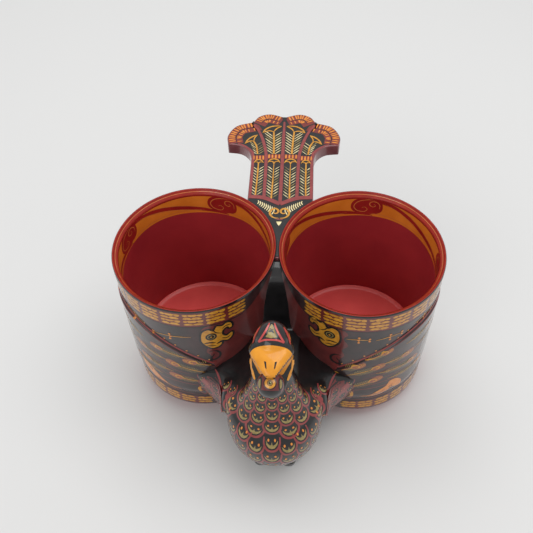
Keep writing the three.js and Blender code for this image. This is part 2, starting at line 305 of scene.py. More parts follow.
class Layer:
    """All strokes and fills of one colour on one region. A chart turns (u, v) and a lift into a place."""

    BASE_LIFT = 0.03
    LEVEL_LIFT = 0.025

    def __init__(self, name, material, slot="black_lacquer"):
        self.name = name
        self.material = material
        self.slot = slot
        self.verts = []
        self.faces = []

    def lift(self, level):
        return self.BASE_LIFT + self.LEVEL_LIFT * level

    def add(self, chart, points, faces):
        """Flat (u, v, lift) points and faces, turned to face outwards and kept."""
        first = len(self.verts)
        places = [Vector(chart(*p)) for p in points]
        a, b, c = (places[i] for i in faces[0][:3])
        u, v, lift = points[faces[0][0]]
        above = Vector(chart(u, v, lift + 1))
        outward = (b - a).cross(c - a).dot(above - a) > 0
        self.verts += [tuple(p) for p in places]
        for face in faces:
            ids = [first + i for i in face]
            self.faces.append(tuple(ids if outward else reversed(ids)))

    def stroke(self, chart, points, width, level=1, taper=(0.35, 0.35), smooth=True, closed=False, step=0.6):
        """A brush stroke with a low crown; taper is the share of its width left at each end."""
        run = spline(points, step, closed) if smooth else [Vector(p) for p in points]
        n = len(run)
        lift = self.lift(level)
        flat = []
        for i, p in enumerate(run):
            ahead = run[(i + 1) % n] if closed else run[min(i + 1, n - 1)]
            behind = run[i - 1] if closed or i else run[0]
            along = ahead - behind
            side = Vector((-along.y, along.x)).normalized() if along.length else Vector((0, 1))
            share = i / max(1, n - 1)
            end = 1.0
            if not closed:
                first, last = taper
                end = min(1.0, first + (1 - first) * share * 4, last + (1 - last) * (1 - share) * 4)
            half = width * end / 2
            flat.append((p.x + side.x * half, p.y + side.y * half, lift))
            flat.append((p.x, p.y, lift + 0.02))
            flat.append((p.x - side.x * half, p.y - side.y * half, lift))
        faces = []
        for i in range(n if closed else n - 1):
            a = 3 * i
            b = 3 * ((i + 1) % n)
            faces += [(a, a + 1, b + 1, b), (a + 1, a + 2, b + 2, b + 1)]
        self.add(chart, flat, faces)

    def fill(self, chart, outline, level=0, pitch=None):
        """A patch of paint inside an outline; pitch is the spacing of the points that bend it."""
        edge = [Vector(p[:2]) for p in outline]
        points = list(edge)
        if pitch:
            lows = [min(p[i] for p in edge) for i in (0, 1)]
            highs = [max(p[i] for p in edge) for i in (0, 1)]
            for i in range(1, math.ceil((highs[0] - lows[0]) / pitch)):
                for j in range(1, math.ceil((highs[1] - lows[1]) / pitch)):
                    points.append(Vector((lows[0] + i * pitch, lows[1] + j * pitch)))
        ring = list(range(len(edge)))
        result = delaunay_2d_cdt(points, [], [ring], 1, 1e-5)
        lift = self.lift(level)
        faces = [tuple(f) for f in result[2]]
        if faces:
            self.add(chart, [(p.x, p.y, lift) for p in result[0]], faces)

    def dot(self, chart, centre, radius, level=2, stretch=(1.0, 1.0), turn=0.0, sides=14):
        """A round or oval dab."""
        ring = []
        for i in range(sides):
            t = 2 * math.pi * i / sides
            x, y = radius * stretch[0] * math.cos(t), radius * stretch[1] * math.sin(t)
            ring.append(
                (
                    centre[0] + x * math.cos(turn) - y * math.sin(turn),
                    centre[1] + x * math.sin(turn) + y * math.cos(turn),
                )
            )
        lift = self.lift(level)
        points = [(x, y, lift) for x, y in ring] + [(centre[0], centre[1], lift + 0.03)]
        faces = [(i, (i + 1) % sides, sides) for i in range(sides)]
        self.add(chart, points, faces)

    def build(self):
        if self.faces:
            return make_piece(self.name, self.verts, self.faces, [self.material], self.slot)
        return None


def side_name(side):
    """What the pieces on one side are called; the right side is the one with x above zero."""
    return "right" if side > 0 else "left"


def mirrored(chart):
    """The same chart across the plane of symmetry."""

    def at(u, v, lift=0.0):
        x, y, z = chart(u, v, lift)
        return (-x, y, z)

    return at


def on_side(chart, side):
    """A chart of the right side as it is, or its mirror image for the left side."""
    return chart if side > 0 else mirrored(chart)


def tail_chart(x, y, lift=0.0):
    """The flat top of the tail; y counts from the plane through the cups' middles."""
    return (x, CUP_Y + y, TAIL_TOP_Z + lift)


# ---- cups ----
LIP = 0.8
BEVEL_LOW = RIM_Z - 1.9


def build_cup(side):
    """A cup's shell with its round rim and the slope inside it, and the bottom with its cove."""
    label = side_name(side)
    x = side * CUP_X
    heights = [BASE_Z + (RIM_Z - LIP - BASE_Z) * i / 12 for i in range(13)]
    outer = [(wall_radius(z), z) for z in heights]
    lip = []
    for i in range(1, 8):
        turn = math.pi * i / 8
        lip.append((RIM_R - LIP / 2 + LIP / 2 * math.cos(turn), RIM_Z - LIP / 2 + LIP / 2 * math.sin(turn)))
    foot = wall_radius(BEVEL_LOW) - WALL
    for i in range(4):
        reach = RIM_R - LIP + (foot - RIM_R + LIP) * i / 4
        lip.append((reach, RIM_Z - LIP / 2 + (BEVEL_LOW - RIM_Z + LIP / 2) * i / 4))
    heights = [BEVEL_LOW + (BASE_Z - BEVEL_LOW) * i / 12 for i in range(13)]
    inner = [(wall_radius(z) - WALL, z) for z in heights]
    profile = outer + lip + inner
    verts, faces = revolve(profile, x)
    n = len(profile)
    kinds = []
    for k in range(n):
        if k < len(outer) - 1 or k == n - 1:
            kinds.append(0)
        elif k < len(outer) + len(lip):
            kinds.append(1)
        else:
            kinds.append(2)
    indices = [kinds[f % n] for f in range(len(faces))]
    make_piece(
        label + "_cup_shell",
        verts,
        faces,
        [OUTER_BLACK, LIP_RED, CRIMSON],
        "black_lacquer",
        [label + "_cup_wall"],
        indices,
    )
    edge = wall_radius(FLOOR_TOP_Z + COVE_RISE) - WALL + 0.05
    low = BASE_Z + 0.3
    cove = []
    for i in range(9):
        t = math.pi / 2 * i / 8
        cove.append((edge - COVE * math.sin(t), FLOOR_TOP_Z + COVE_RISE * (1 - math.sin(t)) ** 1.5))
    flat = [(cove[-1][0] * (1 - i / 24), FLOOR_TOP_Z) for i in range(1, 24)]
    profile = [(edge, low), *cove, *flat]
    segments = 128
    verts, faces = revolve(profile, x, segments, closed=False)
    n = len(profile)
    verts += [(x, CUP_Y, FLOOR_TOP_Z), (x, CUP_Y, low)]
    top, bottom = len(verts) - 2, len(verts) - 1
    for i in range(segments):
        j = (i + 1) % segments
        faces.append((i * n + n - 1, j * n + n - 1, top))
        faces.append((j * n, i * n, bottom))
    make_piece(label + "_cup_bottom", verts, faces, [FLOOR_RED], "red_lacquer", [label + "_cup_floor"])


for side in (-1, 1):
    build_cup(side)

# ---- bird ----
# Plan sections of the chest: height, half width, front of the breast, spread of the wing roots.
BREAST_Y = -47.0
CUP_FRONT_Y = -36.0
CHEST = [
    (4.0, 11, -55, 0),
    (6, 14, -58.6, 0),
    (11, 17.8, -63.8, 4),
    (18, 20.2, -68.4, 9.5),
    (27, 21, -71.8, 12.5),
    (35, 21, -71.4, 13),
    (39, 20.8, -69.2, 10),
    (42, 19.6, -66.6, 4),
    (46.5, 15, -62.4, 0),
    (51, 10.2, -59.2, 0),
]
# Level sections of the neck and head: height, middle, half width, half depth.
NECK = [
    (43, -52.5, 16.5, 13.5),
    (47, -51.6, 14.2, 12.4),
    (51, -51, 12.2, 11),
    (56, -50.4, 10.2, 9.8),
    (62, -49.6, 8.8, 8.8),
    (68, -49, 7.8, 8),
    (76, -48.8, 8.2, 8.6),
    (82, -48.6, 7.8, 8.6),
    (87, -48.2, 6.6, 7.4),
    (90, -47.9, 4.9, 5.4),
    (91.7, -47.6, 2.4, 2.6),
]
# Upright sections of both halves of the beak: place, height of the middle, half width, half height.
UPPER_BEAK = [
    (-47, 83.2, 6.6, 4.6),
    (-51, 84.0, 8.6, 4.2),
    (-54, 84.4, 8.2, 3.6),
    (-57.5, 84.6, 6.2, 2.7),
    (-61, 84.1, 3.9, 1.8),
    (-63.6, 83.4, 2.0, 1.1),
]
LOWER_BEAK = [
    (-47, 76.5, 7, 6),
    (-51, 76, 8.6, 5.6),
    (-55, 74.6, 8.0, 4.4),
    (-59, 73, 6.6, 3.6),
    (-62.5, 71.6, 4.8, 2.4),
    (-64.6, 71, 2.8, 1.4),
]


# The ridge that climbs the back to the tail, from the side: place and height.
RIDGE = [(-6.2, 80.5), (-10.2, 78.6), (-14, 74.5), (-16.8, 66), (-18.4, 54), (-22, 46.5), (-31, 43)]
RIDGE_HALF = 17
RIDGE_BACK = -5.5
RIDGE_LOW = 12
# Upright sections of the shoulders from one side to the middle: sideways, height, radius.
SHOULDERS = [(-23, 34, 5), (-21, 36, 7), (-16, 37, 8.5), (-9, 39, 10.5), (0, 40, 12)]
SHOULDER_Y = -43.5
SHOULDER_DEPTH = 8.5
PLUG_INSET = 1.2
MELT_VOXEL = 0.5
X_AXIS, Y_AXIS, Z_AXIS = (1, 0, 0), (0, 1, 0), (0, 0, 1)


def chest_ring(z, half, front, spread):
    """A level section of the chest: the round breast, the wing roots and the part behind them."""
    right = [(0.0, front)]
    for i in range(1, 25):
        t = math.pi / 2 * i / 24
        right.append((half * math.sin(t), BREAST_Y + (front - BREAST_Y) * math.cos(t)))
    for i in range(1, 9):
        share = i / 8
        right.append((half + spread * share**1.35, BREAST_Y + (CUP_FRONT_Y - BREAST_Y) * share))
    right += [(half + spread, y) for y in (-30, -22, -14)]
    left = [(-x, y) for x, y in right[1:]]
    return [(x, CUP_Y + y, z) for x, y in left[::-1] + right]


def oval(centre, a, b, axis_a=X_AXIS, axis_b=Y_AXIS, steps=48):
    """A ring of points about a centre, level unless its axes say otherwise."""
    ring = []
    for i in range(steps):
        t = 2 * math.pi * i / steps
        ring.append(Vector(centre) + Vector(axis_a) * (a * math.cos(t)) + Vector(axis_b) * (b * math.sin(t)))
    return ring


def shell(verts, faces):
    """A closed mesh object that is only material for a carving."""
    mesh = bpy.data.meshes.new("shell")
    mesh.from_pydata([tuple(c * MM for c in v) for v in verts], [], faces)
    made = bpy.data.objects.new("shell", mesh)
    bpy.context.scene.collection.objects.link(made)
    return made


def applied(piece, kind, **settings):
    """The piece with one modifier added and applied."""
    modifier = piece.modifiers.new(kind, kind)
    for key, value in settings.items():
        setattr(modifier, key, value)
    depsgraph = bpy.context.evaluated_depsgraph_get()
    mesh = bpy.data.meshes.new_from_object(piece.evaluated_get(depsgraph))
    piece.modifiers.clear()
    old = piece.data
    piece.data = mesh
    bpy.data.meshes.remove(old)
    return piece


def carve(shells, voxel, iterations):
    """Several closed shells melted into one smooth carving."""
    joined = bmesh.new()
    for s in shells:
        joined.from_mesh(s.data)
        bpy.data.objects.remove(s)
    mesh = bpy.data.meshes.new("carving")
    joined.to_mesh(mesh)
    joined.free()
    carving = bpy.data.objects.new("carving", mesh)
    bpy.context.scene.collection.objects.link(carving)
    applied(carving, "REMESH", mode="VOXEL", voxel_size=voxel * MM)
    applied(carving, "SMOOTH", factor=0.5, iterations=iterations)
    return carving


def cup_plugs():
    """The two cups as full cones just inside their walls."""
    plugs = []
    for side in (-1, 1):
        rings = []
        for z in (-2.0, RIM_Z + 6):
            r = wall_radius(z) - PLUG_INSET
            rings.append(oval((side * CUP_X, CUP_Y, z), r, r, steps=160))
        plugs.append(shell(*loft(rings)))
    return plugs


def clear_of_cups(*parts):
    """Takes the room of the two cups out of shells."""
    for plug in cup_plugs():
        for part in parts:
            applied(part, "BOOLEAN", operation="DIFFERENCE", object=plug, solver="EXACT")
        bpy.data.objects.remove(plug)


def side_slab(profile, half):
    """A slab whose outline is given as (y, z), reaching half to each side of x = 0."""
    n = len(profile)
    verts = [(x, CUP_Y + y, z) for x in (-half, half) for y, z in profile]
    faces = [(i, (i + 1) % n, n + (i + 1) % n, n + i) for i in range(n)]
    faces += [tuple(range(n - 1, -1, -1)), tuple(range(n, 2 * n))]
    return shell(verts, faces)


def build_bird():
    """Breast, ridge, shoulders, neck, head and beak, melted into one carving."""
    chest = shell(*loft([chest_ring(*row) for row in table(CHEST, 5)]))
    climb = [tuple(p) for p in spline(RIDGE, 1.0)]
    ends = [(RIDGE_BACK, RIDGE_LOW), (RIDGE_BACK, RIDGE[0][1])]
    ridge = side_slab([*ends, *climb, (RIDGE[-1][0], RIDGE_LOW)], RIDGE_HALF)
    neck = shell(*loft([oval((0, CUP_Y + y, z), a, b) for z, y, a, b in table(NECK, 5)]))
    beaks = [
        shell(*loft([oval((0, CUP_Y + y, z), a, b, axis_b=Z_AXIS) for y, z, a, b in table(rows, 5)]))
        for rows in (UPPER_BEAK, LOWER_BEAK)
    ]
    rings = []
    for x, z, r in table(SHOULDERS + [(-x, z, r) for x, z, r in SHOULDERS[-2::-1]], 4):
        rings.append(oval((x, CUP_Y + SHOULDER_Y, z), SHOULDER_DEPTH, r, Y_AXIS, Z_AXIS))
    shoulders = shell(*loft(rings))
    clear_of_cups(chest, ridge, shoulders)
    return carve([chest, ridge, shoulders, neck, *beaks], MELT_VOXEL, 6)


bird = build_bird()
bird.name = "bird_carving"
bird.data.materials.clear()
bird.data.materials.append(BLACK)
for polygon in bird.data.polygons:
    polygon.use_smooth = True
settle(bird, "black_lacquer", ["bird_body", "bird_head", "neck_dowel"])


def build_pearl():
    """The ball in the beak."""
    rings = []
    for i in range(1, 48):
        t = math.pi * i / 48
        r = PEARL_R * math.sin(t)
        rings.append(oval((0, CUP_Y + PEARL_Y, PEARL_Z - PEARL_R * math.cos(t)), r, r, steps=64))
    verts, faces = loft(rings)
    make_piece("pearl_ball", verts, faces, [RED_BROWN], "pearl_lacquer", ["beak_pearl"])


build_pearl()

# ---- tail ----
FAN = [
    [(TAIL_HALF, 57.0), (16.4, 61.6), (20.4, 65.4), (26.8, 66.6)],
    [(26.8, 66.6), (27.4, 73), (23.6, 80.2), (15.6, 83.4)],
    [(15.6, 83.4), (12.6, 88), (7.2, 89.8), (0, 87.4)],
]


def tail_outline(step=0.8):
    """The fan and its neck, whose root narrows between the cups and is sunk a little into their walls."""
    right = []
    for i in range(121):
        y = ROOT_FRONT_Y + (57 - ROOT_FRONT_Y) * i / 121
        reach = (RIM_R - 0.5) ** 2 - y * y
        gap = CUP_X - math.sqrt(reach) if reach > 0 else TAIL_HALF
        right.append(Vector((min(gap, TAIL_HALF), y)))
    for stretch in FAN:
        right += spline(stretch, step)[0 if stretch is FAN[0] else 1 :]
    left = [Vector((-p.x, p.y)) for p in right[:-1]]
    return right + left[::-1]


def plate(outline, low, high, rounding=0.5):
    """A flat plate with slightly rounded edges."""
    n = len(outline)
    normals = []
    for i in range(n):
        along = outline[(i + 1) % n] - outline[i - 1]
        normals.append(Vector((along.y, -along.x)).normalized())
    steps = 4
    rings = []
    for base, sign in ((low, -1), (high, 1)):
        turns = range(steps + 1) if sign > 0 else range(steps, -1, -1)
        for i in turns:
            t = math.pi / 2 * i / steps
            inset = rounding * (1 - math.cos(t))
            z = base + sign * rounding * (math.sin(t) - 1)
            sunk = [p - m * inset for p, m in zip(outline, normals)]
            rings.append([(p.x, CUP_Y + p.y, z) for p in sunk])
    verts = [v for ring in rings for v in ring]
    faces = []
    for r in range(len(rings) - 1):
        for i in range(n):
            j = (i + 1) % n
            faces.append((r * n + i, r * n + j, (r + 1) * n + j, (r + 1) * n + i))
    for first, flip in ((0, True), ((len(rings) - 1) * n, False)):
        flat = [Vector(verts[first + i][:2]) for i in range(n)]
        result = delaunay_2d_cdt(flat, [], [list(range(n))], 1, 1e-6)
        for face in result[2]:
            ids = [first + (result[3][i][0] if result[3][i] else 0) for i in face]
            faces.append(tuple(reversed(ids)) if flip else tuple(ids))
    kinds = [0] * ((len(rings) - 1) * n) + [1] * (len(faces) - (len(rings) - 1) * n)
    return verts, faces, kinds


verts, faces, kinds = plate(tail_outline(), TAIL_TOP_Z - TAIL_THICK, TAIL_TOP_Z)
tail_piece = make_piece("tail_plate", verts, faces, [MAUVE_SIDE, BLACK], "black_lacquer", ["tail_fan"], kinds)
flatten_shading(tail_piece, 1)
for polygon in tail_piece.data.polygons:
    if polygon.normal.z < -0.9:
        polygon.use_smooth = False

# ---- painting of the tail ----


def offset_run(run, distance, low=0.0, high=1.0):
    """The part of a run between two shares of its length, moved to the left of its direction."""
    n = len(run) - 1
    out = []
    for i in range(round(low * n), round(high * n) + 1):
        along = run[min(i + 1, n)] - run[max(i - 1, 0)]
        normal = Vector((-along.y, along.x)).normalized()
        out.append(run[i] + normal * distance)
    return out


def paint_dashes(layer, chart, run, near, far, pitch, width, low=0.0, high=1.0):
    """Short dashes square to a run, from one distance to another on its left."""
    inner = offset_run(run, far, low, high)
    outer = offset_run(run, near, low, high)
    length = sum((outer[i + 1] - outer[i]).length for i in range(len(outer) - 1))
    count = max(2, round(length / pitch))
    for k in range(count):
        i = round((k + 0.5) / count * (len(outer) - 1))
        shift = random.uniform(-0.15, 0.15)
        a, b = outer[i].lerp(inner[i], 0.02 + shift / 4), inner[i]
        layer.stroke(chart, [a, b], width * random.uniform(0.8, 1.15), level=2, taper=(0.8, 0.6), step=1.2)


BARB_PITCH = 1.9
BARB_WIDTH = 0.42
BARB_GAP = 0.5


def paint_barbs(layers, chart, shaft, reach):
    """Fine slanting barbs from both sides of a shaft out to the sides of its feather."""
    for p in spline(shaft, BARB_PITCH)[:-1]:
        for side in (-1, 1):
            span = reach(p, side) - BARB_GAP
            if span <= 0.3:
                continue
            start = (p.x + side * BARB_GAP, p.y)
            stop = (p.x + side * (BARB_GAP + span), p.y + span)
            layer = random.choice(layers)
            width = BARB_WIDTH * random.uniform(0.75, 1.25)
            layer.stroke(chart, [start, stop], width, level=1, taper=(0.5, 0.35), step=2)


# Lines of the right half of the tail: width and points. Arches under the middle band:
ARCHES = [
    (0.75, [(1.0, 53.4), (2.0, 55.3), (3.9, 56.2), (5.8, 55.4), (6.8, 53.5)]),
    (0.6, [(1.4, 54.4), (3.3, 54.2), (3.9, 52.6)]),
    (0.6, [(6.5, 54.4), (4.5, 54.2), (3.9, 52.6)]),
    (0.65, [(8.9, 53.2), (9.8, 54.9), (11.2, 55.5), (12.6, 54.8), (13.3, 53.2)]),
    (0.5, [(9.4, 53.9), (10.8, 53.7), (11.2, 52.2)]),
    (0.5, [(13.0, 53.9), (11.6, 53.7), (11.2, 52.2)]),
]
# and the heads of the two long upper shafts:
SHAFT_HEADS = [
    (0.8, [(18.6, 66.8), (17.3, 69.7), (15.4, 71.9), (12.8, 73.5)]),
    (0.75, [(18.6, 66.9), (16.6, 68.6), (14.6, 68.9)]),
    (0.6, [(12.9, 73.3), (14.1, 71.2), (14.4, 69)]),
    (0.85, [(10.4, 75.2), (9.2, 77.6), (6.6, 79.7), (3.6, 80.4), (1.3, 80.2)]),
    (0.7, [(10.4, 75.3), (7.4, 76.6), (5.0, 76.0)]),
    (0.7, [(1.4, 80.0), (3.6, 78.4), (5.0, 76)]),
]
ROOT_SCROLL = [
    (0.3, 17.6), (2.6, 18.0), (4.2, 20.1), (3.8, 22.4), (2.0, 23.5), (0.6, 22.4), (0.9, 20.8), (2.2, 20.5),
    (2.7, 21.6),
]


def paint_tail():
    """Lobes with two bands of dashes, a middle band, stripes, and feathers on the black ground."""
    mauve = Layer("tail_mauve_lines", MAUVE)
    gold = Layer("tail_gold_lines", GOLD)
    light = Layer("tail_light_barbs", CREAM)
    dull = Layer("tail_dull_barbs", OLIVE)
    dash = Layer("tail_orange_dashes", ORANGE)
    red = Layer("tail_red_ground", LOBE_RED)
    dark = Layer("tail_dark_lines", BLACK)

    outer_lobe = spline(FAN[1], 0.5)
    inner_lobe = spline(FAN[2], 0.5)
    divider = [(7.4, 30.4), (7.7, 55), (8.5, 63), (10.4, 71), (12.6, 77), (14.2, 79.4), (15.0, 81.4)]
    edge = [(13.8, 31), (14.0, 56.5), (15.5, 62.1), (19.7, 66.0), (22, 66.7)]
    for mirror in (1, -1):
        side = on_side(tail_chart, mirror)
        # lobes: red ground, two bands of dashes and the dark line between them
        ground = [*offset_run(outer_lobe, 0.45), *reversed(offset_run(outer_lobe, 7.4))]
        red.fill(side, ground, pitch=3)
        ground = [*offset_run(inner_lobe, 0.45), *reversed(offset_run(inner_lobe, 7.0, 0.0, 0.98))]
        red.fill(side, [(max(0.0, p[0]), p[1]) for p in ground], pitch=3)
        for lobe, near, far, pitch, width, low, high in (
            (outer_lobe, 0.6, 3.8, 1.7, 0.8, 0.02, 0.97),
            (outer_lobe, 4.7, 6.9, 1.5, 0.6, 0.0, 1.0),
            (inner_lobe, 0.6, 3.8, 1.65, 0.78, 0.04, 0.96),
            (inner_lobe, 4.6, 6.6, 1.45, 0.6, 0.1, 1.0),
        ):
            paint_dashes(dash, side, lobe, near, far, pitch, width, low, high)
        dark.stroke(side, offset_run(outer_lobe, 4.25)[::3], 0.4, level=2)
        dark.stroke(side, offset_run(inner_lobe, 4.2, 0.05)[::3], 0.4, level=2)
        notch = [(15.5, 82.6), (12.4, 80.6), (10.8, 77.4), (13.2, 76.2), (16.4, 79.6), (17.4, 81.6)]
        red.fill(side, notch, pitch=3)
        dark.fill(side, [(16.1, 82.8), (15.5, 83.9), (14.8, 82.6), (15.4, 81.6)], level=3)
        dark.fill(side, [(0, 87.2), (1.2, 87.2), (0.9, 84.5), (0.3, 82.2), (0, 82.2)], level=3)
        # mid band
        red.fill(side, [(0.8, 56.4), (7.6, 56.2), (8.0, 59.2), (0.8, 59.6)], pitch=3)
        red.fill(side, [(7.9, 55.3), (13.9, 55.1), (14.2, 58.3), (8.2, 58.8)], pitch=3)
        for i in range(4):
            x = 1.6 + i * 1.6
            dash.stroke(side, [(x, 56.7), (x + 0.05, 59.3)], 0.78, level=2, taper=(0.8, 0.7), step=1.2)
            x = 9.1 + i * 1.5
            dash.stroke(side, [(x, 55.5), (x + 0.15, 58.3)], 0.74, level=2, taper=(0.8, 0.7), step=1.2)
        # stripes
        mauve.stroke(side, divider, 1.45, level=2, taper=(1, 0.8), step=1)
        mauve.stroke(side, edge, 1.25, level=2, taper=(1, 0.5), step=1)
        mauve.stroke(side, [(14.4, 30.8), (7.4, 30.1), (0, 26.4)], 2.2, level=3, taper=(1, 1), step=0.8)
        # arches under the mid band and their shafts
        for width, points in ARCHES:
            gold.stroke(side, points, width, level=3)
        gold.stroke(side, [(11.4, 31.4), (11.2, 42), (11.2, 53.2)], 0.7, level=2, taper=(1, 0.8), step=1)
        gold.stroke(side, [(4.1, 29.2), (3.9, 42), (3.9, 53.8)], 0.75, level=2, taper=(1.2, 0.8), step=1)
        # upper shafts with their T heads
        for width, points in SHAFT_HEADS:
            gold.stroke(side, points, width, level=3)
        gold.stroke(side, [(14.6, 69), (12.9, 65.2), (12.0, 59.4)], 0.8, level=3, taper=(0.8, 0.9))
        gold.stroke(side, [(5.0, 76.2), (4.6, 68), (4.3, 59.8)], 0.9, level=3, taper=(0.8, 1))
        # barbs
        mostly_light = [light, light, light, dull]
        paint_barbs(mostly_light, side, [(3.9, 30.5), (3.9, 50.6)], lambda p, s: 2.7)
        shaft = [(11.2, 32), (11.2, 50.6)]
        paint_barbs([light, light, dull], side, shaft, lambda p, s: 2.1 if s > 0 else 2.7)
        paint_barbs(
            mostly_light,
            side,
            [(4.3, 59.8), (4.9, 74.4)],
            lambda p, s: (7.7 + max(0, p.y - 60) * 0.16) - p.x if s > 0 else p.x - 1.0,
        )
        paint_barbs(
            [light, dull],
            side,
            [(12.0, 59.5), (12.7, 64), (14.0, 67.4)],
            lambda p, s: 2.2 + max(0, p.y - 60) * 0.2 if s > 0 else 3.0,
        )
        # root scroll
        for i in range(9):
            foot = (3.4 + 0.84 * i, 19.9 + 0.78 * i)
            head = (2.5 + 0.92 * i, 24.3 + 0.52 * i)
            bend = ((foot[0] + head[0]) / 2 - 0.45, (foot[1] + head[1]) / 2 - 0.1)
            light.stroke(side, [foot, bend, head], 0.5, level=2, taper=(0.9, 0.4), step=0.5)
        gold.stroke(side, ROOT_SCROLL, 0.9, level=3, step=0.4)
        mauve.stroke(side, [(0.0, 17.0), (1.7, 17.1)], 0.5, level=2, taper=(1, 0.5))
        light.fill(side, [(0, 15.6), (1.2, 15.6), (0.7, 14.2), (0, 13.1)], level=1)
    mauve.stroke(tail_chart, [(0, 27), (0, 60), (0, 83.6)], 1.55, level=3, taper=(1, 0.6), step=1)
    for layer in (mauve, gold, light, dull, dash, red, dark):
        layer.build()


paint_tail()

# ---- painting inside the cups ----


def inside_chart(side):
    """The inner wall of a cup: degrees about its middle and height."""

    def at(u, v, lift=0.0):
        r = wall_radius(v) - WALL - lift
        turn = math.radians(u)
        return (side * CUP_X + r * math.cos(turn), CUP_Y + r * math.sin(turn), v)

    return at


def stretched(chart, shift):
    """An inner wall chart turned by some degrees, measured in millimetres round the wall."""

    def at(u, v, lift=0.0):
        return chart(shift + math.degrees(u / (RIM_R - WALL)), v, lift)

    return at


BAND_TOP = BEVEL_LOW - 0.1
BAND_LOW = 70.2
# Crimson shapes on the inner band, repeated four times: millimetres round the wall and height.
BLOB = [
    (-7.2, 76), (-6.4, 79.6), (-3, 80.75), (2.2, 80.7), (5.8, 79.6), (7.4, 76.6), (6.6, 73.2), (3, 71),
    (-2.4, 71.2), (-6, 73),
]
SWEEP = [(-3.5, 79.9), (-11, 79.3), (-19, 77.5), (-28, 74.9), (-37, 72.7), (-45, 71.4), (-54, 70.5)]
SWEEP_EDGES = [
    [(-6, 80.8), (-12, 80.4), (-20, 78.6), (-29, 75.9), (-38, 73.8), (-46, 72.4)],
    [(-8, 79.2), (-15, 77.5), (-24, 74.6), (-33, 72.4), (-41, 71.0)],
]
BLOB_CURLS = [
    [
        (-5.8, 75.4), (-5.6, 78), (-3.6, 79.4), (-1.4, 78.6), (-1.2, 76.8), (-2.8, 76), (-3.8, 77.0),
        (-3.0, 77.8),
    ],
    [
        (-3.8, 80.5), (0.2, 80.0), (4.2, 78.6), (6.0, 75.9), (4.6, 73.2), (1.4, 72.4), (-0.2, 74),
        (1.0, 75.4), (2.4, 74.8),
    ],
]


def paint_inside(side, shift):
    """The ochre band under the rim, with four crimson blobs and the stripes that fall from them."""
    label = side_name(side)
    ochre = Layer(label + "_inner_ochre_band", OCHRE, "red_lacquer")
    red = Layer(label + "_inner_crimson_shapes", DEEP_RED, "red_lacquer")
    thin = Layer(label + "_inner_thin_lines", THIN_OCHRE, "red_lacquer")
    chart = inside_chart(side)
    steps = 192
    quarter = 2 * math.pi * (RIM_R - WALL) / 4
    top = [(360 * i / steps, BAND_TOP) for i in range(steps + 1)]
    low = []
    for i in range(steps + 1):
        turn = 360 * i / steps
        phase = math.radians(4 * (turn - shift))
        low.append((turn, BAND_LOW + 0.55 * math.cos(phase + 2.2)))
    rows = 5
    points = []
    for j in range(rows):
        share = j / (rows - 1)
        points += [(a[0], a[1] + (b[1] - a[1]) * share, ochre.lift(0)) for a, b in zip(top, low)]
    faces = []
    for j in range(rows - 1):
        for i in range(steps):
            a = j * (steps + 1) + i
            faces.append((a, a + 1, a + steps + 2, a + steps + 1))
    ochre.add(chart, points, faces)
    circle = [(turn, BEVEL_LOW - 0.45) for turn in range(0, 360, 2)]
    red.stroke(chart, circle, 0.8, level=3, closed=True, smooth=False)
    for k in range(4):
        local = stretched(chart, shift + 90 * k)
        red.fill(local, spline(BLOB, 0.8, closed=True), level=1, pitch=2.5)
        # the stripe falls from the blob's top to the foot of the band under the next one
        red.stroke(local, SWEEP, 2.1, level=2, taper=(0.9, 0.25), step=1.0)
        for points in SWEEP_EDGES:
            thin.stroke(local, points, 0.26, level=3, step=1.0)
        for points in BLOB_CURLS:
            thin.stroke(local, points, 0.42, level=3, step=0.5)
        foot = [(9 - quarter, 71.6), (-6.4, 72.0), (-2, 70.4), (4, 70.3)]
        thin.stroke(local, foot, 0.26, level=3, step=1.0)
    for layer in (ochre, red, thin):
        layer.build()


paint_inside(-1, 74.0)
paint_inside(1, 83.0)


def paint_lips():
    """The fine lines on the rim of each cup: a dark line round the outside, and on the slope inside a light
    line that is a painted highlight.
    """
    for side in (-1, 1):
        label = side_name(side)
        dark = [(RIM_R + 0.05, RIM_Z - 1.0), (RIM_R + 0.05, RIM_Z - 0.35), (RIM_R - 0.2, RIM_Z)]
        # the light line on the slope inside is a painted highlight along the rim
        light = [(RIM_R - 1.35, RIM_Z - 0.82), (RIM_R - 1.52, RIM_Z - 0.99)]
        for name, material, places in (
            ("_rim_dark_line", BLACK, dark),
            ("_rim_painted_highlight", THIN_OCHRE, light),
        ):
            line = Layer(label + name, material)
            profile = [(r, z + 0.04) for r, z in places]
            line.verts, line.faces = revolve(profile, side * CUP_X, 240, closed=False)
            line.build()


paint_lips()

# ---- wings: low relief on the front of each cup ----


WING_ROOT_TOP = 42.5
WING_CLIMB = 26
WING_ROOT_LOW = 18
WING_EDGE = 5.0
WING_CREST = 0.7
WING_TIP = 0.34


def wing_top(share):
    """Height of the wing's upper edge at a share of its length."""
    return WING_ROOT_TOP + WING_CLIMB * math.sin(min(1, 1.3 * share) * math.pi / 2)


def wing_low(share):
    """Height of the wing's lower edge, which climbs in its outer half."""
    return WING_ROOT_LOW + 2 * share + 65 * max(0.0, share - 0.55) ** 1.6


def wing_share(u):
    """How far along the wing a place on the cup's wall is, from 0 at its root to 1 at its tip."""
    return (math.pi / 2 + u / RIM_R - WING_FROM) / (WING_TO - WING_FROM)


def wing_relief(u, z):
    """How far the wing stands out from the cup's wall at a place on it."""
    share = wing_share(u)
    if share <= 0 or share >= 1:
        return 0.0
    top, low = wing_top(share), wing_low(share)
    if z <= low or z >= top:
        return 0.0
    rise = min(1.0, (z - low) / WING_EDGE)
    crest = min(1.0, (top - z) / WING_CREST)
    tip = min(1.0, (1 - share) / WING_TIP)
    return WING_RELIEF * (rise * rise * (3 - 2 * rise)) * math.sqrt(crest) * tip


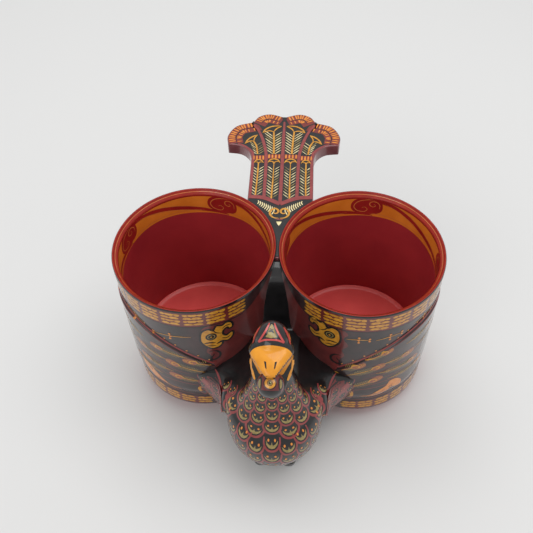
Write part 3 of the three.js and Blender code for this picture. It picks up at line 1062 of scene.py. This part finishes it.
def outside_chart(side):
    """The front of a cup with its wing: millimetres outwards from the cup's frontmost line, and height."""

    def at(u, v, lift=0.0):
        r = wall_radius(v) + wing_relief(u, v) + lift
        turn = u / RIM_R
        return (side * (CUP_X + r * math.sin(turn)), CUP_Y - r * math.cos(turn), v)

    return at


def build_wing(side):
    """A thin curved slab on the front of a cup, whose back is sunk into the wall."""
    label = side_name(side)
    chart = outside_chart(side)
    across, up = 150, 44
    front, back = [], []
    for i in range(across + 1):
        share = i / across
        u = (WING_FROM - math.pi / 2 + share * (WING_TO - WING_FROM)) * RIM_R
        top, low = wing_top(share), wing_low(share)
        for j in range(up + 1):
            t = j / up
            z = low + (top - low) * (1 - (1 - t) ** 1.6)
            front.append(chart(u, z, 0.02 if 0 < j < up else -0.1))
            back.append(chart(u, z, -0.5 - wing_relief(u, z)))
    n = len(front)
    verts = front + back
    faces = []

    def quad(a, b, c, d):
        faces.append((a, b, c, d) if side > 0 else (d, c, b, a))

    row = up + 1
    for i in range(across):
        for j in range(up):
            a = i * row + j
            quad(a, a + row, a + row + 1, a + 1)
            quad(n + a, n + a + 1, n + a + row + 1, n + a + row)
        for j, flip in ((0, False), (up, True)):
            a = i * row + j
            if flip:
                quad(a, a + row, n + a + row, n + a)
            else:
                quad(a, n + a, n + a + row, a + row)
    for j in range(up):
        quad(j, j + 1, n + j + 1, n + j)
        a = across * row + j
        quad(a, n + a, n + a + 1, a + 1)
    make_piece(label + "_wing_relief", verts, faces, [OUTER_BLACK], "black_lacquer", [label + "_wing"])


for side in (-1, 1):
    build_wing(side)

# ---- painting on the outside of the cups ----


def dash_block(layer, chart, u0, u1, v0, v1, rows=4):
    """A block of interlocking wavy dashes."""
    pitch = (v1 - v0) / rows
    length = (u1 - u0) / 1.75
    for r in range(rows):
        v = v0 + pitch * (r + 0.5)
        u = u0 - (length * 0.5 if r % 2 else 0.0) + random.uniform(-0.3, 0.3)
        while u < u1 - 0.8:
            a, b = max(u, u0 - 0.3), min(u + length, u1 + 0.3)
            if b - a > 1.0:
                sway = random.uniform(0.15, 0.45) * (1 if r % 2 else -1)
                middle = (a + b) / 2
                layer.stroke(
                    chart,
                    [(a, v + sway), (middle, v - sway * 0.4), (b, v + sway * 0.8)],
                    pitch * random.uniform(0.6, 0.9),
                    level=2,
                    taper=(0.2, 0.2),
                )
            u += length - 0.2


def band(layer, chart, u0, u1, low, high, level=0):
    """A stretch of plain ground between two heights, each a number or a function of u."""
    columns = max(2, math.ceil((u1 - u0) / 1.2))
    rows = 4
    points = []
    for i in range(columns + 1):
        u = u0 + (u1 - u0) * i / columns
        bottom = low(u) if callable(low) else low
        top = high(u) if callable(high) else high
        for j in range(rows + 1):
            points.append((u, bottom + (top - bottom) * j / rows, layer.lift(level)))
    faces = []
    for i in range(columns):
        for j in range(rows):
            a = i * (rows + 1) + j
            faces.append((a, a + rows + 1, a + rows + 2, a + 1))
    layer.add(chart, points, faces)


LOZENGE = [(1.15, 0.25), (0.6, 0.75), (-0.5, 0.62), (-1.1, -0.05), (-0.5, -0.62), (0.55, -0.55), (1.0, -0.3)]
COMMA = [(-1.3, -0.1), (-0.7, 0.42), (-0.05, 0.32), (0.1, -0.12), (-0.28, -0.3), (-0.48, -0.02)]


def feather(gold, olive, salmon, chart, base, tip, width):
    """A long feather: shaft, slanting barbs, and a salmon lozenge with a gold comma at its end."""
    a, b = Vector(base), Vector(tip)
    along = (b - a).normalized()
    across = Vector((-along.y, along.x))
    size = width * 0.72
    heart = b - along * size * 0.2

    def placed(points):
        return [heart + along * (size * x) + across * (size * y) for x, y in points]

    salmon.fill(chart, spline(placed(LOZENGE), 0.5, closed=True), level=1, pitch=1.5)
    gold.stroke(chart, placed(COMMA), 0.75, level=3, step=0.4)
    for k in range(3):
        x = 0.35 + 0.22 * k
        gold.stroke(chart, placed([(x, 0.5 - 0.12 * k), (x + 0.14, 0.0), (x, -0.4 + 0.1 * k)]), 0.22, level=3)
    b = heart - along * size * 0.9
    gold.stroke(chart, [a, b], 0.5, level=2, step=1.0)
    steps = int((b - a).length / 0.85)
    for i in range(2, steps):
        p = a + (b - a) * i / steps
        share = min(1.0, 3 * i / steps) * width * 0.52
        for s in (-1, 1):
            start = p + across * (s * 0.25)
            end = p + along * share * 0.9 + across * (s * share)
            olive.stroke(chart, [start, end], 0.3, level=1, taper=(0.5, 0.4), step=2)


LEFT_EYE = (-9.3, 64.2)
RIGHT_EYE = (-13.3, 66.5)
EYE_BIRD = [
    (4.0, 1.5), (3.2, 4.1), (1.0, 5.1), (-1.2, 3.6), (-2.4, 5.6), (-3.0, 6.5), (-5.2, 5.8), (-7.0, 6.9),
    (-8.8, 6.2), (-9.3, 3.6), (-8.3, 2.8), (-7.6, 4.1), (-6.4, 4.0), (-5.0, 2.4), (-4.8, -0.3), (-6.6, -2.1),
    (-8.2, -1.1), (-9.3, -1.0), (-8.9, -3.4), (-6.9, -5.2), (-4.2, -4.3), (-1.8, -6.0), (-4.2, -5.8),
    (-2.8, -8.0), (0.2, -8.3), (3.1, -5.2), (4.2, -2.1),
]
EYE_BIRD_CUTS = [
    (0.7, [(3.6, -4.4), (1.0, -4.1), (-1.6, -4.9)]),
    (0.5, [(-0.6, 5.2), (-2.4, 2.2), (-4.6, 1.0)]),
    (0.5, [(-9.0, 5.0), (-6.6, 5.2), (-5.0, 3.9)]),
    (0.5, [(-8.6, -2.4), (-6.6, -3.5), (-4.4, -2.5)]),
    (0.5, [(2.4, -6.0), (0.2, -6.7), (-1.6, -7.1)]),
]
FIELD = [
    (-44, 80), (-24, 72.3), (-9.5, 72.3), (-5.6, 69.6), (-7.4, 66), (-5.2, 61.5), (-7.6, 57.5), (-6.4, 53.5),
    (-8.6, 49), (-9, 42), (-18, 35), (-32, 35), (-42, 42), (-47, 60),
]
SHOULDER_CURL = [
    (-7.5, 53.4), (-10.6, 53.0), (-12.2, 50.4), (-11.4, 47.6), (-8.6, 46.4), (-7.4, 47.6), (-9.0, 49.6),
    (-9.6, 51.0),
]
# What differs between the two cups. Feathers: base, tip, width.
RIGHT_FLIES = [((-6.2, 66.5), (3.6, 66.6)), ((6.0, 66.0), (17.5, 67.4)), ((23, 69), (34, 70.2))]
LEFT_FLIES = [((-1.0, 65.3), (16.8, 63.4)), ((20, 66), (31, 69.4)), ((36, 70), (48, 70.4))]
RIGHT_FEATHERS = [
    ((-7, 43.5), (0.6, 48.4), 4.2), ((-4.5, 40), (9.2, 46.4), 4.0), ((2.5, 52.5), (12, 57.2), 3.6),
    ((-3, 30), (9, 36), 4.2), ((10, 48), (23, 49), 4.2), ((8, 41), (27, 40.5), 4.0),
    ((14, 34), (32, 34), 3.8), ((20, 58), (34, 60.5), 3.6), ((26, 50), (43, 53), 3.6),
]
LEFT_FEATHERS = [
    ((-7.5, 44), (1.8, 47.6), 4.2), ((-5, 38.5), (10.0, 44.2), 4.2), ((2, 50.5), (16.5, 53.6), 3.8),
    ((-2.5, 31), (9.6, 33.4), 4.2), ((12, 45.5), (26, 48), 4.2), ((10, 37), (25, 38.4), 4.0),
    ((16, 31), (31, 33), 3.8), ((22, 56), (36, 59), 3.6), ((27, 47.5), (44, 51), 3.6),
]
RIGHT_SCALLOP = [
    (-12.1, 39.2), (-9.2, 40.9), (-7, 37), (-7.7, 33.6), (-4.7, 32.1), (-3.7, 28.1), (-4.4, 25.4),
    (-1.9, 25.9), (-1.3, 22.5), (-2.9, 20.2),
]
LEFT_SCALLOP = [
    (-11.6, 40.2), (-8.6, 39.0), (-7.6, 36.4), (-5.6, 36.2), (-3.9, 34), (-4.6, 31.2), (-2.4, 29.8),
    (-2.6, 26.6), (-0.6, 25.0), (-1.2, 22.0),
]
RIGHT_FLAME = [
    (2.2, 21.6), (7, 22.4), (10.3, 25.0), (14.0, 27.6), (15.6, 31.2), (19, 31), (22.0, 27.0), (21.4, 23.4),
    (17, 24.6), (14.6, 22.4), (12.4, 19.8), (7.2, 19.5),
]
LEFT_FLAME = [
    (8, 21.8), (13, 22.8), (17, 25.4), (21, 29.2), (25, 32.5), (28.5, 32), (27.5, 28), (23, 24.6), (18, 21),
    (12, 19.4),
]
RIGHT_FLAME_EYE = (16.5, 25.6)
LEFT_FLAME_EYE = (23.5, 28.6)
RIM_BAND = (72.6, 82.0)
RIM_DASHES = (73.4, 81.6)
FOOT_BAND_LOW = 8.7


def foot_top(u):
    """Height of the upper edge of the band round a cup's foot."""
    return 15.6 + 2.6 * min(1.0, max(0.0, u / 30)) ** 1.2


def evenly(start, stop, pitch):
    """Places from start, pitch apart, that lie before stop."""
    while start < stop:
        yield start
        start += pitch


def paint_outside(side):
    """Bands at rim and foot, and between them the eye bird, the curl, dragonflies, feathers and flame."""
    label = side_name(side)
    chart = outside_chart(side)
    ground = Layer(label + "_outer_red_ground", RED_BROWN)
    gold = Layer(label + "_outer_gold", GOLD)
    olive = Layer(label + "_outer_olive_barbs", OLIVE)
    salmon = Layer(label + "_outer_salmon", SALMON)
    black = Layer(label + "_outer_black", BLACK)
    mauve = Layer(label + "_outer_mauve_lines", MAUVE)
    orange = Layer(label + "_outer_orange", ORANGE)

    # band under the rim, as far as the middle of the cup's back
    back = math.pi * RIM_R
    band(ground, chart, -24, back + 12, *RIM_BAND)
    for u in evenly(-25.5, back + 8, 9.3):
        dash_block(gold, chart, u, u + 7.6, *RIM_DASHES)
    black.stroke(chart, [(x, 72.4) for x in range(-24, 122, 2)], 0.55, level=2, taper=(1, 1), step=2)

    # red-brown field beside the bird
    ground.fill(chart, spline(FIELD, 2.0, closed=True), level=0, pitch=2.5)

    # the eye bird
    eye = Vector(RIGHT_EYE if side > 0 else LEFT_EYE)
    body = spline(moved(EYE_BIRD, eye), 0.5, closed=True)
    black.stroke(chart, body, 2.0, level=1, closed=True, smooth=False)
    gold.fill(chart, body, level=2, pitch=2.0)
    for radius, paint, level in ((2.45, black, 4), (1.7, olive, 5), (1.3, black, 6), (0.45, gold, 8)):
        paint.dot(chart, eye, radius, level=level, sides=22)
    for width, cut in EYE_BIRD_CUTS:
        black.stroke(chart, moved(cut, eye), width, level=4)

    # the black curl near the shoulder
    black.stroke(chart, SHOULDER_CURL, 1.0, level=2, step=0.5)

    # thin dotted dragonflies on the black ground
    for a, b in RIGHT_FLIES if side > 0 else LEFT_FLIES:
        a, b = Vector(a), Vector(b)
        gold.stroke(chart, [a, a.lerp(b, 0.5) + Vector((0, 0.3)), b], 0.42, level=2)
        for share, rise in ((0.52, 1.7), (0.52, -1.7), (0.97, 0.8), (0.97, -0.8), (0.5, 0.0)):
            orange.dot(chart, a.lerp(b, share) + Vector((0, rise)), 0.55, level=3)
        gold.stroke(chart, moved([(0, 1.7), (0, -1.7)], a.lerp(b, 0.52)), 0.3, level=2)

    # ridge line of the wing
    u0, u1 = -9.5, (WING_TO - math.pi / 2) * RIM_R - 1
    run = []
    for i in range(41):
        u = u0 + (u1 - u0) * i / 40
        run.append((u, wing_top(max(0.0, wing_share(u))) + 0.1))
    mauve.stroke(chart, run, 1.5, level=2, taper=(1, 0.4), step=1.4)
    for p, q in zip(run[1:-2:3], run[2:-1:3]):
        spot = Vector(p).lerp(Vector(q), 0.4) + Vector((0.3, 2.4))
        orange.dot(chart, spot, 0.42, level=2)

    # long feathers
    for base, tip, width in RIGHT_FEATHERS if side > 0 else LEFT_FEATHERS:
        feather(gold, olive, salmon, chart, base, tip, width)
    for k in range(7):
        a = (-5 + 2.5 * k, 27 + 3.4 * k)
        b = (26 + 2.6 * k, 27.5 + 4.2 * k)
        mauve.stroke(chart, [a, ((a[0] + b[0]) / 2, (a[1] + b[1]) / 2 + 1.6), b], 0.32, level=1, step=1.5)

    # scalloped gold edge near the shoulder, over red scallops
    scallop = RIGHT_SCALLOP if side > 0 else LEFT_SCALLOP
    ground.fill(chart, [(-12.5, 41), *scallop, (-12.5, 19)], level=0, pitch=2.0)
    gold.stroke(chart, scallop, 1.7, level=3, taper=(0.7, 0.7), step=0.5)

    # orange flame above the bottom band
    flame = RIGHT_FLAME if side > 0 else LEFT_FLAME
    orange.fill(chart, spline(flame, 0.5, closed=True), level=2, pitch=2.0)
    for radius, shade, level in ((0.95, ground, 3), (0.6, orange, 4)):
        shade.dot(chart, RIGHT_FLAME_EYE if side > 0 else LEFT_FLAME_EYE, radius, level=level)
    ground.stroke(chart, [(flame[0][0] + 2, 21.3), (flame[2][0], 22.4), (flame[3][0], 25.0)], 0.4, level=3)

    # band round the foot
    band(ground, chart, -4, back - 8, FOOT_BAND_LOW, foot_top)
    for u in evenly(-5.5, back - 18, 8.1):
        dash_block(gold, chart, u, u + 6.6, 9.3, foot_top(u + 3) - 0.7, 3)
    black.stroke(chart, [(x, foot_top(x)) for x in range(-4, 100, 3)], 0.45, level=2, taper=(1, 1), step=2)
    mauve.stroke(chart, [(x, foot_top(x) + 1.3 + 0.02 * x) for x in range(-3, 60, 3)], 0.4, level=1, step=2)
    for layer in (ground, gold, olive, salmon, black, mauve, orange):
        layer.build()


for side in (-1, 1):
    paint_outside(side)

# ---- painting of the bird ----
bird_skin = BVHTree.FromPolygons(
    [tuple(v.co / MM) for v in bird.data.vertices], [tuple(p.vertices) for p in bird.data.polygons]
)
NECK_Y = CUP_Y - 50
CHEST_HEART = Vector((0, NECK_Y, 24))
CHEST_R = 22.0
THROAT_R = 11


def chest_chart(u, v, lift=0.0):
    """The breast seen from its middle: millimetres round it and up it."""
    round_turn = u / CHEST_R
    rise = (v - CHEST_HEART.z) / CHEST_R
    level = math.cos(rise)
    way = Vector((math.sin(round_turn) * level, -math.cos(round_turn) * level, math.sin(rise)))
    spot, normal, _, _ = bird_skin.ray_cast(CHEST_HEART, way)
    if spot is None:
        return tuple(CHEST_HEART + way * CHEST_R)
    return tuple(spot + normal * lift)


HEAD_AIM = Vector((0, -0.63, 0.777)).normalized()
HEAD_UP = Vector((1, 0, 0)).cross(-HEAD_AIM).normalized()
HEAD_HEART = Vector((0, NECK_Y, 84))
HEAD_START = 60
HEAD_PAST = 70


def head_chart(u, v, lift=0.0):
    """The top of the head and beak, looked at slantwise from the front; a place beside them moves inwards."""
    for pull in range(16):
        start = HEAD_HEART + Vector((u * (1 - 0.03 * pull), 0, 0)) + HEAD_UP * v + HEAD_AIM * HEAD_START
        spot, normal, _, away = bird_skin.ray_cast(start, -HEAD_AIM)
        if spot is not None and away < HEAD_PAST:
            return tuple(spot + normal * lift)
    return tuple(start - HEAD_AIM * HEAD_START)


def pearl_chart(u, v, lift=0.0):
    """The pearl, in millimetres about the spot that faces forwards and up."""
    heart = Vector((0, CUP_Y + PEARL_Y, PEARL_Z))
    reach = math.hypot(u, v) / PEARL_R
    side = Vector((u, 0, 0)) + HEAD_UP * v
    way = HEAD_AIM * math.cos(reach) + side.normalized() * math.sin(reach)
    return tuple(heart + way * (PEARL_R + lift))


def root_chart(u, v, lift=0.0):
    """The root of the right wing as seen from straight in front: sideways and height."""
    spot, normal, _, _ = bird_skin.ray_cast(Vector((u, CUP_Y - 120, v)), Vector((0, 1, 0)))
    across = u - CUP_X
    turn = math.asin(max(-1.0, min(1.0, across / wall_radius(v))))
    r = wall_radius(v) + wing_relief(turn * RIM_R, v) + lift
    wall_y = CUP_Y - math.sqrt(max(0.0, r * r - across * across))
    if spot is None or spot.y > wall_y:
        return (u, wall_y, v)
    return tuple(spot + normal * lift)


def shoulder_chart(u, v, lift=0.0):
    """The shoulders from straight above: sideways and backwards."""
    spot, normal, _, _ = bird_skin.ray_cast(Vector((u, CUP_Y + v, 50)), Vector((0, 0, -1)))
    if spot is None:
        return (u, CUP_Y + v, 42)
    return tuple(spot + normal * lift)


def throat_chart(u, v, lift=0.0):
    """The neck, in millimetres round it and height."""
    heart = Vector((0, NECK_Y, v))
    way = Vector((math.sin(u / THROAT_R), -math.cos(u / THROAT_R), 0))
    spot, normal, _, _ = bird_skin.ray_cast(heart, way)
    if spot is None:
        return tuple(heart + way * 10)
    return tuple(spot + normal * lift)


def whole(half):
    """An outline from its right half, given from the middle outwards."""
    return [(-x, y) for x, y in half[:0:-1]] + half


SCALE_EDGE = whole([(0, 0), (0.34, 0.04), (0.66, 0.2), (0.93, 0.55), (1.0, 1.0)])
SCALE_SMILE = whole([(0, 0.18), (0.32, 0.24), (0.62, 0.46), (0.74, 0.78)])
SCALE_SMILE += whole([(0, 0.7), (0.07, 0.46), (0.22, 0.44), (0.48, 0.56)])[::-1]
# The lattice of breast scales. Odd columns hang lower.
SCALE_COLUMN = 7.7
SCALE_ROW = 7.2
SCALE_DROP = 2.7
SCALE_LOW = 0.3
ROOT_GROUND = [(22.2, 15), (22.4, 39.5), (26, 40.5), (30, 38.5), (33.5, 34), (34, 24), (29, 17)]
ROOT_EDGES = [
    (0.85, [(23.1, 40.2), (22.7, 37), (22.4, 30), (22.2, 22), (21.4, 14.5), (19.6, 10)]),
    (0.75, [(25.3, 38.6), (24.6, 36), (24.2, 28), (23.8, 20), (22.8, 14), (21, 9.8)]),
]
SHOULDER_EDGE = [(23.0, -44.8), (23.6, -41), (25.0, -37.5), (26.4, -35)]


def scale_mark(layers, chart, u, v, a, b, width=0.95):
    """One scale, a wide and b high above its lowest point: a U edge, an olive smile and two orange dabs."""
    edge, smile, dab = layers
    edge.stroke(chart, [(u + a * x, v + b * y) for x, y in SCALE_EDGE], width, level=2, taper=(0.7, 0.7))
    smile.fill(chart, [(u + a * x, v + b * y) for x, y in SCALE_SMILE], level=1)
    for x in (-0.42, 0.38):
        dab.dot(chart, (u + a * x, v + b * 0.8), 0.12 * a, level=3, stretch=(1, 1.25), sides=10)


def paint_breast():
    """Scales on the breast, the throat, the wing roots and the shoulders."""
    edge = Layer("breast_mauve_scale_edges", MAUVE)
    smile = Layer("breast_olive_smiles", OLIVE)
    dab = Layer("breast_orange_dabs", ORANGE)
    black = Layer("breast_black_lines", BLACK)
    ground = Layer("wing_root_red_ground", RED_BROWN)
    layers = (edge, smile, dab)
    for column in range(-5, 6):
        limit = 37 if abs(column) == 5 else 45
        for row in range(8):
            v = SCALE_LOW + SCALE_ROW * row - (SCALE_DROP if column % 2 else 0)
            if v + 5 < limit:
                scale_mark(layers, chest_chart, SCALE_COLUMN * column, v, 4.2, 5.6)
    for side in (-1, 1):
        root = on_side(root_chart, side)
        ground.fill(root, ROOT_GROUND, level=0, pitch=1.0)
        for column in range(3):
            for row in range(5):
                x = 26.2 + 3.4 * column
                z = 15.5 + 5.0 * row + (0 if column % 2 else 2.5)
                if z < 35.5 - 0.5 * column:
                    black.dot(root, (x, z + 2.3), 1.9, level=1, stretch=(0.8, 1.2))
                    scale_mark(layers, root, x, z, 1.7, 4.2, width=0.6)
        for width, points in ROOT_EDGES:
            edge.stroke(root, points, width, level=5, taper=(0.7, 0.6), step=0.6)
        # small scales on the throat, at the sides of the pearl; the middle column is painted once
        throat = on_side(throat_chart, side)
        for column in range(0 if side > 0 else 1, 4):
            for row in range(4):
                v = 43.2 + 5.2 * row - (2.4 if column % 2 else 0)
                scale_mark(layers, throat, 5.2 * column, v, 2.9, 4.3, width=0.75)
        shoulder = on_side(shoulder_chart, side)
        for x, y in ((17.6, -49.6), (20.6, -46.4)):
            scale_mark(layers, shoulder, x, y, 2.2, 4.0, width=0.65)
        edge.stroke(shoulder, SHOULDER_EDGE, 0.8, level=4, step=0.6)
    for layer in (ground, *layers, black):
        layer.build()


def paint_head():
    """The orange beak with its black nostrils, and coral lines, a triangle and eyes on the head."""
    orange = Layer("beak_orange", BEAK_ORANGE)
    red = Layer("beak_red", DEEP_RED)
    coral = Layer("head_coral_lines", CORAL)
    cream = Layer("head_cream_triangle", OLIVE)
    black = Layer("head_black_marks", BLACK)
    eye = Layer("head_orange_eyes", ORANGE)
    top = [(1.4, 0.7), (4.6, 0.0), (7.2, -1.6), (8.6, -4.6)]
    top = [(-x, y) for x, y in top[::-1]] + top
    low = whole([(0, -12.2), (2.0, -11.9), (4.2, -10.9), (6.4, -9.0), (7.9, -6.6)])
    outline = spline(top, 0.6) + spline(low[::-1], 0.6)
    orange.fill(head_chart, outline, level=1, pitch=0.5)
    for side in (1, -1):
        chart = on_side(head_chart, side)
        orange.stroke(chart, [(8.0, -5.6), (7.7, -9.0), (6.2, -13.2)], 1.1, level=3, taper=(0.8, 0.6))
        corner = [(7.6, -5.2), (7.4, -8.8), (5.8, -12.0), (4.3, -11.2), (5.8, -8.6)]
        black.fill(chart, corner, level=4, pitch=0.5)
        black.fill(chart, [(1.6, -5.2), (2.4, -5.0), (1.8, -7.4), (1.3, -7.8)], level=3)
        coral.stroke(chart, [(0.9, 8.6), (2.2, 5.8), (4.7, 1.7)], 0.7, level=3, taper=(0.6, 1))
        coral.stroke(chart, [(4.7, 1.7), (2.4, 2.6), (0, 2.8)], 0.65, level=3, taper=(1, 1))
        coral.stroke(chart, [(4.3, 7.2), (6.0, 4.2), (7.0, 0.8)], 0.6, level=3)
        eye.dot(chart, (6.9, 3.6), 1.3, level=2, stretch=(0.4, 1.2), turn=-0.25)
    triangle = [(0, 8.4), (0.8, 7.2), (2.1, 3.7), (0, 3.4), (-2.1, 3.7), (-0.8, 7.2)]
    cream.fill(head_chart, triangle, level=2, pitch=0.9)
    black.stroke(head_chart, [(-1.1, 5.6), (0.0, 5.9), (0.9, 5.2)], 0.7, level=4)
    black.stroke(head_chart, [(-0.6, 6.8), (0.1, 6.2), (0.6, 6.6)], 0.35, level=4)
    red.stroke(head_chart, [(-2.4, -12.0), (0, -12.8), (2.4, -12.0)], 0.8, level=2)
    for layer in (orange, red, coral, cream, black, eye):
        layer.build()


PEARL_EYE = Vector((0, 1.2))


def paint_pearl():
    """A ringed eye on the ball, with dark patches and olive leaves round it."""
    gold = Layer("pearl_gold_ring", GOLD, "pearl_lacquer")
    black = Layer("pearl_black_marks", BLACK, "pearl_lacquer")
    olive = Layer("pearl_olive_crescents", OLIVE, "pearl_lacquer")
    dot = Layer("pearl_light_dot", CREAM, "pearl_lacquer")
    turns = [2 * math.pi * i / 24 for i in range(24)]
    circle = moved([(1.55 * math.cos(t), 1.55 * math.sin(t)) for t in turns], PEARL_EYE)
    black.dot(pearl_chart, PEARL_EYE, 2.5, level=1, sides=26)
    gold.stroke(pearl_chart, circle, 0.95, level=3, closed=True, smooth=False)
    olive.dot(pearl_chart, PEARL_EYE, 0.85, level=3)
    black.dot(pearl_chart, PEARL_EYE, 0.5, level=5)
    dot.dot(pearl_chart, (0.1, 1.3), 0.16, level=6)
    for side in (1, -1):
        chart = on_side(pearl_chart, side)
        ring = [(3.5, 2.8), (4.6, 3.6), (5.6, 2.4), (5.8, 0.2), (5.0, -1.6), (3.8, -1.8), (3.3, 0.4)]
        black.fill(chart, spline(ring, 0.4, closed=True), level=1, pitch=0.8)
        leaf = [(4.0, 2.2), (4.7, 2.6), (5.2, 1.2), (4.9, -0.6), (4.2, -1.2), (3.8, 0.4)]
        olive.fill(chart, spline(leaf, 0.4, closed=True), level=2, pitch=0.8)
    lower = [*whole([(0, -1.7), (3.4, -1.9), (5.0, -2.6)]), (4.2, -5.0), (0, -6.2), (-4.2, -5.0)]
    black.fill(pearl_chart, spline(lower, 0.6, closed=True), level=0, pitch=0.8)
    for layer in (gold, black, olive, dot):
        layer.build()


paint_breast()
paint_head()
paint_pearl()

# ---- feet, pegs and the tube between the cups ----
TOE_REACH = 1.4
FOOT_CORNER = 2.4
# From the table up: share of the height, and how far the sides are pulled in.
FOOT_SIDES = [(0.0, 1.0), (0.05, 0.6), (0.14, 0.35), (0.5, 0.2), (0.8, 0.06), (0.95, 0.1), (1.0, 0.35)]


def rounded_ring(lo, hi, z, inset, corner, steps=6):
    """A rectangle with round corners at a height, pulled in on all sides."""
    x0, x1, y0, y1 = lo[0] + inset, hi[0] - inset, lo[1] + inset, hi[1] - inset
    ring = []
    for cx, cy, start in ((x1, y1, 0), (x0, y1, 90), (x0, y0, 180), (x1, y0, 270)):
        sx = -1 if cx == x1 else 1
        sy = -1 if cy == y1 else 1
        for i in range(steps + 1):
            t = math.radians(start + 90 * i / steps)
            ring.append((cx + sx * corner + corner * math.cos(t), cy + sy * corner + corner * math.sin(t), z))
    return ring


def build_foot(node, reach):
    """A carved foot with worn edges that narrows to the table; reach is how far its toe goes forwards."""
    lo, hi = node_box(node)
    lo = [lo[0], lo[1] - reach, lo[2]]
    height = hi[2] - lo[2]
    rings = []
    for share, inset in table(FOOT_SIDES, 3):
        rings.append(rounded_ring(lo, hi, lo[2] + share * height, inset, FOOT_CORNER))
    verts, faces = loft(rings)
    make_piece(node + "_carved", verts, faces, [BLACK], "black_lacquer", [node])


for label in ("left", "right"):
    build_foot(label + "_front_foot", TOE_REACH)
    build_foot(label + "_rear_foot", 0.0)
pegs = [a + b for a in ("left_", "right_") for b in ("front_foot_peg", "rear_foot_peg")]
for node in (*pegs, "connecting_tube"):
    for material_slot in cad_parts[node].material_slots:
        material_slot.link = "OBJECT"
        material_slot.material = BAMBOO


def build_wedge():
    """The block under the root of the tail, fitted between the cups."""
    top = TAIL_TOP_Z - TAIL_THICK + 0.6
    wedge = side_slab([(9.6, 50), (27, 50), (32, 51.2), (36, 54), (39, top), (9.6, top)], TAIL_HALF - 1)
    clear_of_cups(wedge)
    wedge.name = "tail_wedge"
    applied(wedge, "BEVEL", width=0.5 * MM, segments=2, limit_method="ANGLE")
    wedge.data.materials.clear()
    wedge.data.materials.append(BLACK)
    settle(wedge, "black_lacquer")


build_wedge()

# ---- stage, light and camera ----
CAMERA_TARGET = (-4.07, CUP_Y - 10.64, RIM_Z)
CAMERA_DISTANCE = 292.4
CAMERA_ELEVATION = math.radians(50.37)
CAMERA_AZIMUTH = math.radians(4.79)
CAMERA_ROLL = math.radians(-2.34)
CAMERA_LENS = 47.8
LIGHT_TARGET = (0, 0, 0.05)
FLOOR_HALF = 3.0


def place_camera():
    """The camera, on its circle round the target and rolled a little."""
    back = Vector(
        (
            math.sin(CAMERA_AZIMUTH) * math.cos(CAMERA_ELEVATION),
            -math.cos(CAMERA_AZIMUTH) * math.cos(CAMERA_ELEVATION),
            math.sin(CAMERA_ELEVATION),
        )
    )
    level = Vector((0, 0, 1)).cross(back).normalized()
    upright = back.cross(level)
    right = level * math.cos(CAMERA_ROLL) + upright * math.sin(CAMERA_ROLL)
    up = upright * math.cos(CAMERA_ROLL) - level * math.sin(CAMERA_ROLL)
    turn = Matrix((right, up, back)).transposed().to_4x4()
    spot = (Vector(CAMERA_TARGET) + back * CAMERA_DISTANCE) * MM
    data = bpy.data.cameras.new("camera")
    data.lens = CAMERA_LENS
    data.clip_start = 0.01
    camera = bpy.data.objects.new("camera", data)
    camera.matrix_world = Matrix.Translation(spot) @ turn
    bpy.context.scene.collection.objects.link(camera)
    bpy.context.scene.camera = camera


def area_light(name, spot, size, power):
    """A white soft light in metres and watts, turned to the middle of the cups."""
    data = bpy.data.lights.new(name, "AREA")
    data.shape = "RECTANGLE"
    data.size, data.size_y = size
    data.energy = power
    lamp = bpy.data.objects.new(name, data)
    lamp.location = spot
    lamp.rotation_euler = (Vector(LIGHT_TARGET) - Vector(spot)).to_track_quat("-Z", "Y").to_euler()
    bpy.context.scene.collection.objects.link(lamp)


def build_stage():
    """The pale floor, the white surroundings and two soft lights."""
    mesh = bpy.data.meshes.new("floor")
    corners = [(FLOOR_HALF * x, FLOOR_HALF * y, 0) for x, y in ((-1, -1), (1, -1), (1, 1), (-1, 1))]
    mesh.from_pydata(corners, [], [(0, 1, 2, 3)])
    material = bpy.data.materials.new("pale_floor")
    material.use_nodes = True
    bsdf = material.node_tree.nodes["Principled BSDF"]
    bsdf.inputs["Base Color"].default_value = (0.68, 0.68, 0.675, 1)
    bsdf.inputs["Roughness"].default_value = 0.8
    mesh.materials.append(material)
    floor = bpy.data.objects.new("floor", mesh)
    bpy.context.scene.collection.objects.link(floor)
    world = bpy.data.worlds.new("studio")
    world.use_nodes = True
    world.node_tree.nodes["Background"].inputs["Color"].default_value = (1.0, 1.0, 1.0, 1)
    world.node_tree.nodes["Background"].inputs["Strength"].default_value = 0.6
    bpy.context.scene.world = world
    area_light("overhead", (0.1, 0.16, 0.9), (1.2, 0.62), 5.6)
    area_light("front", (-0.5, -0.9, 0.8), (0.8, 0.6), 3.0)
    bpy.context.scene.view_settings.view_transform = "Standard"


build_stage()
place_camera()
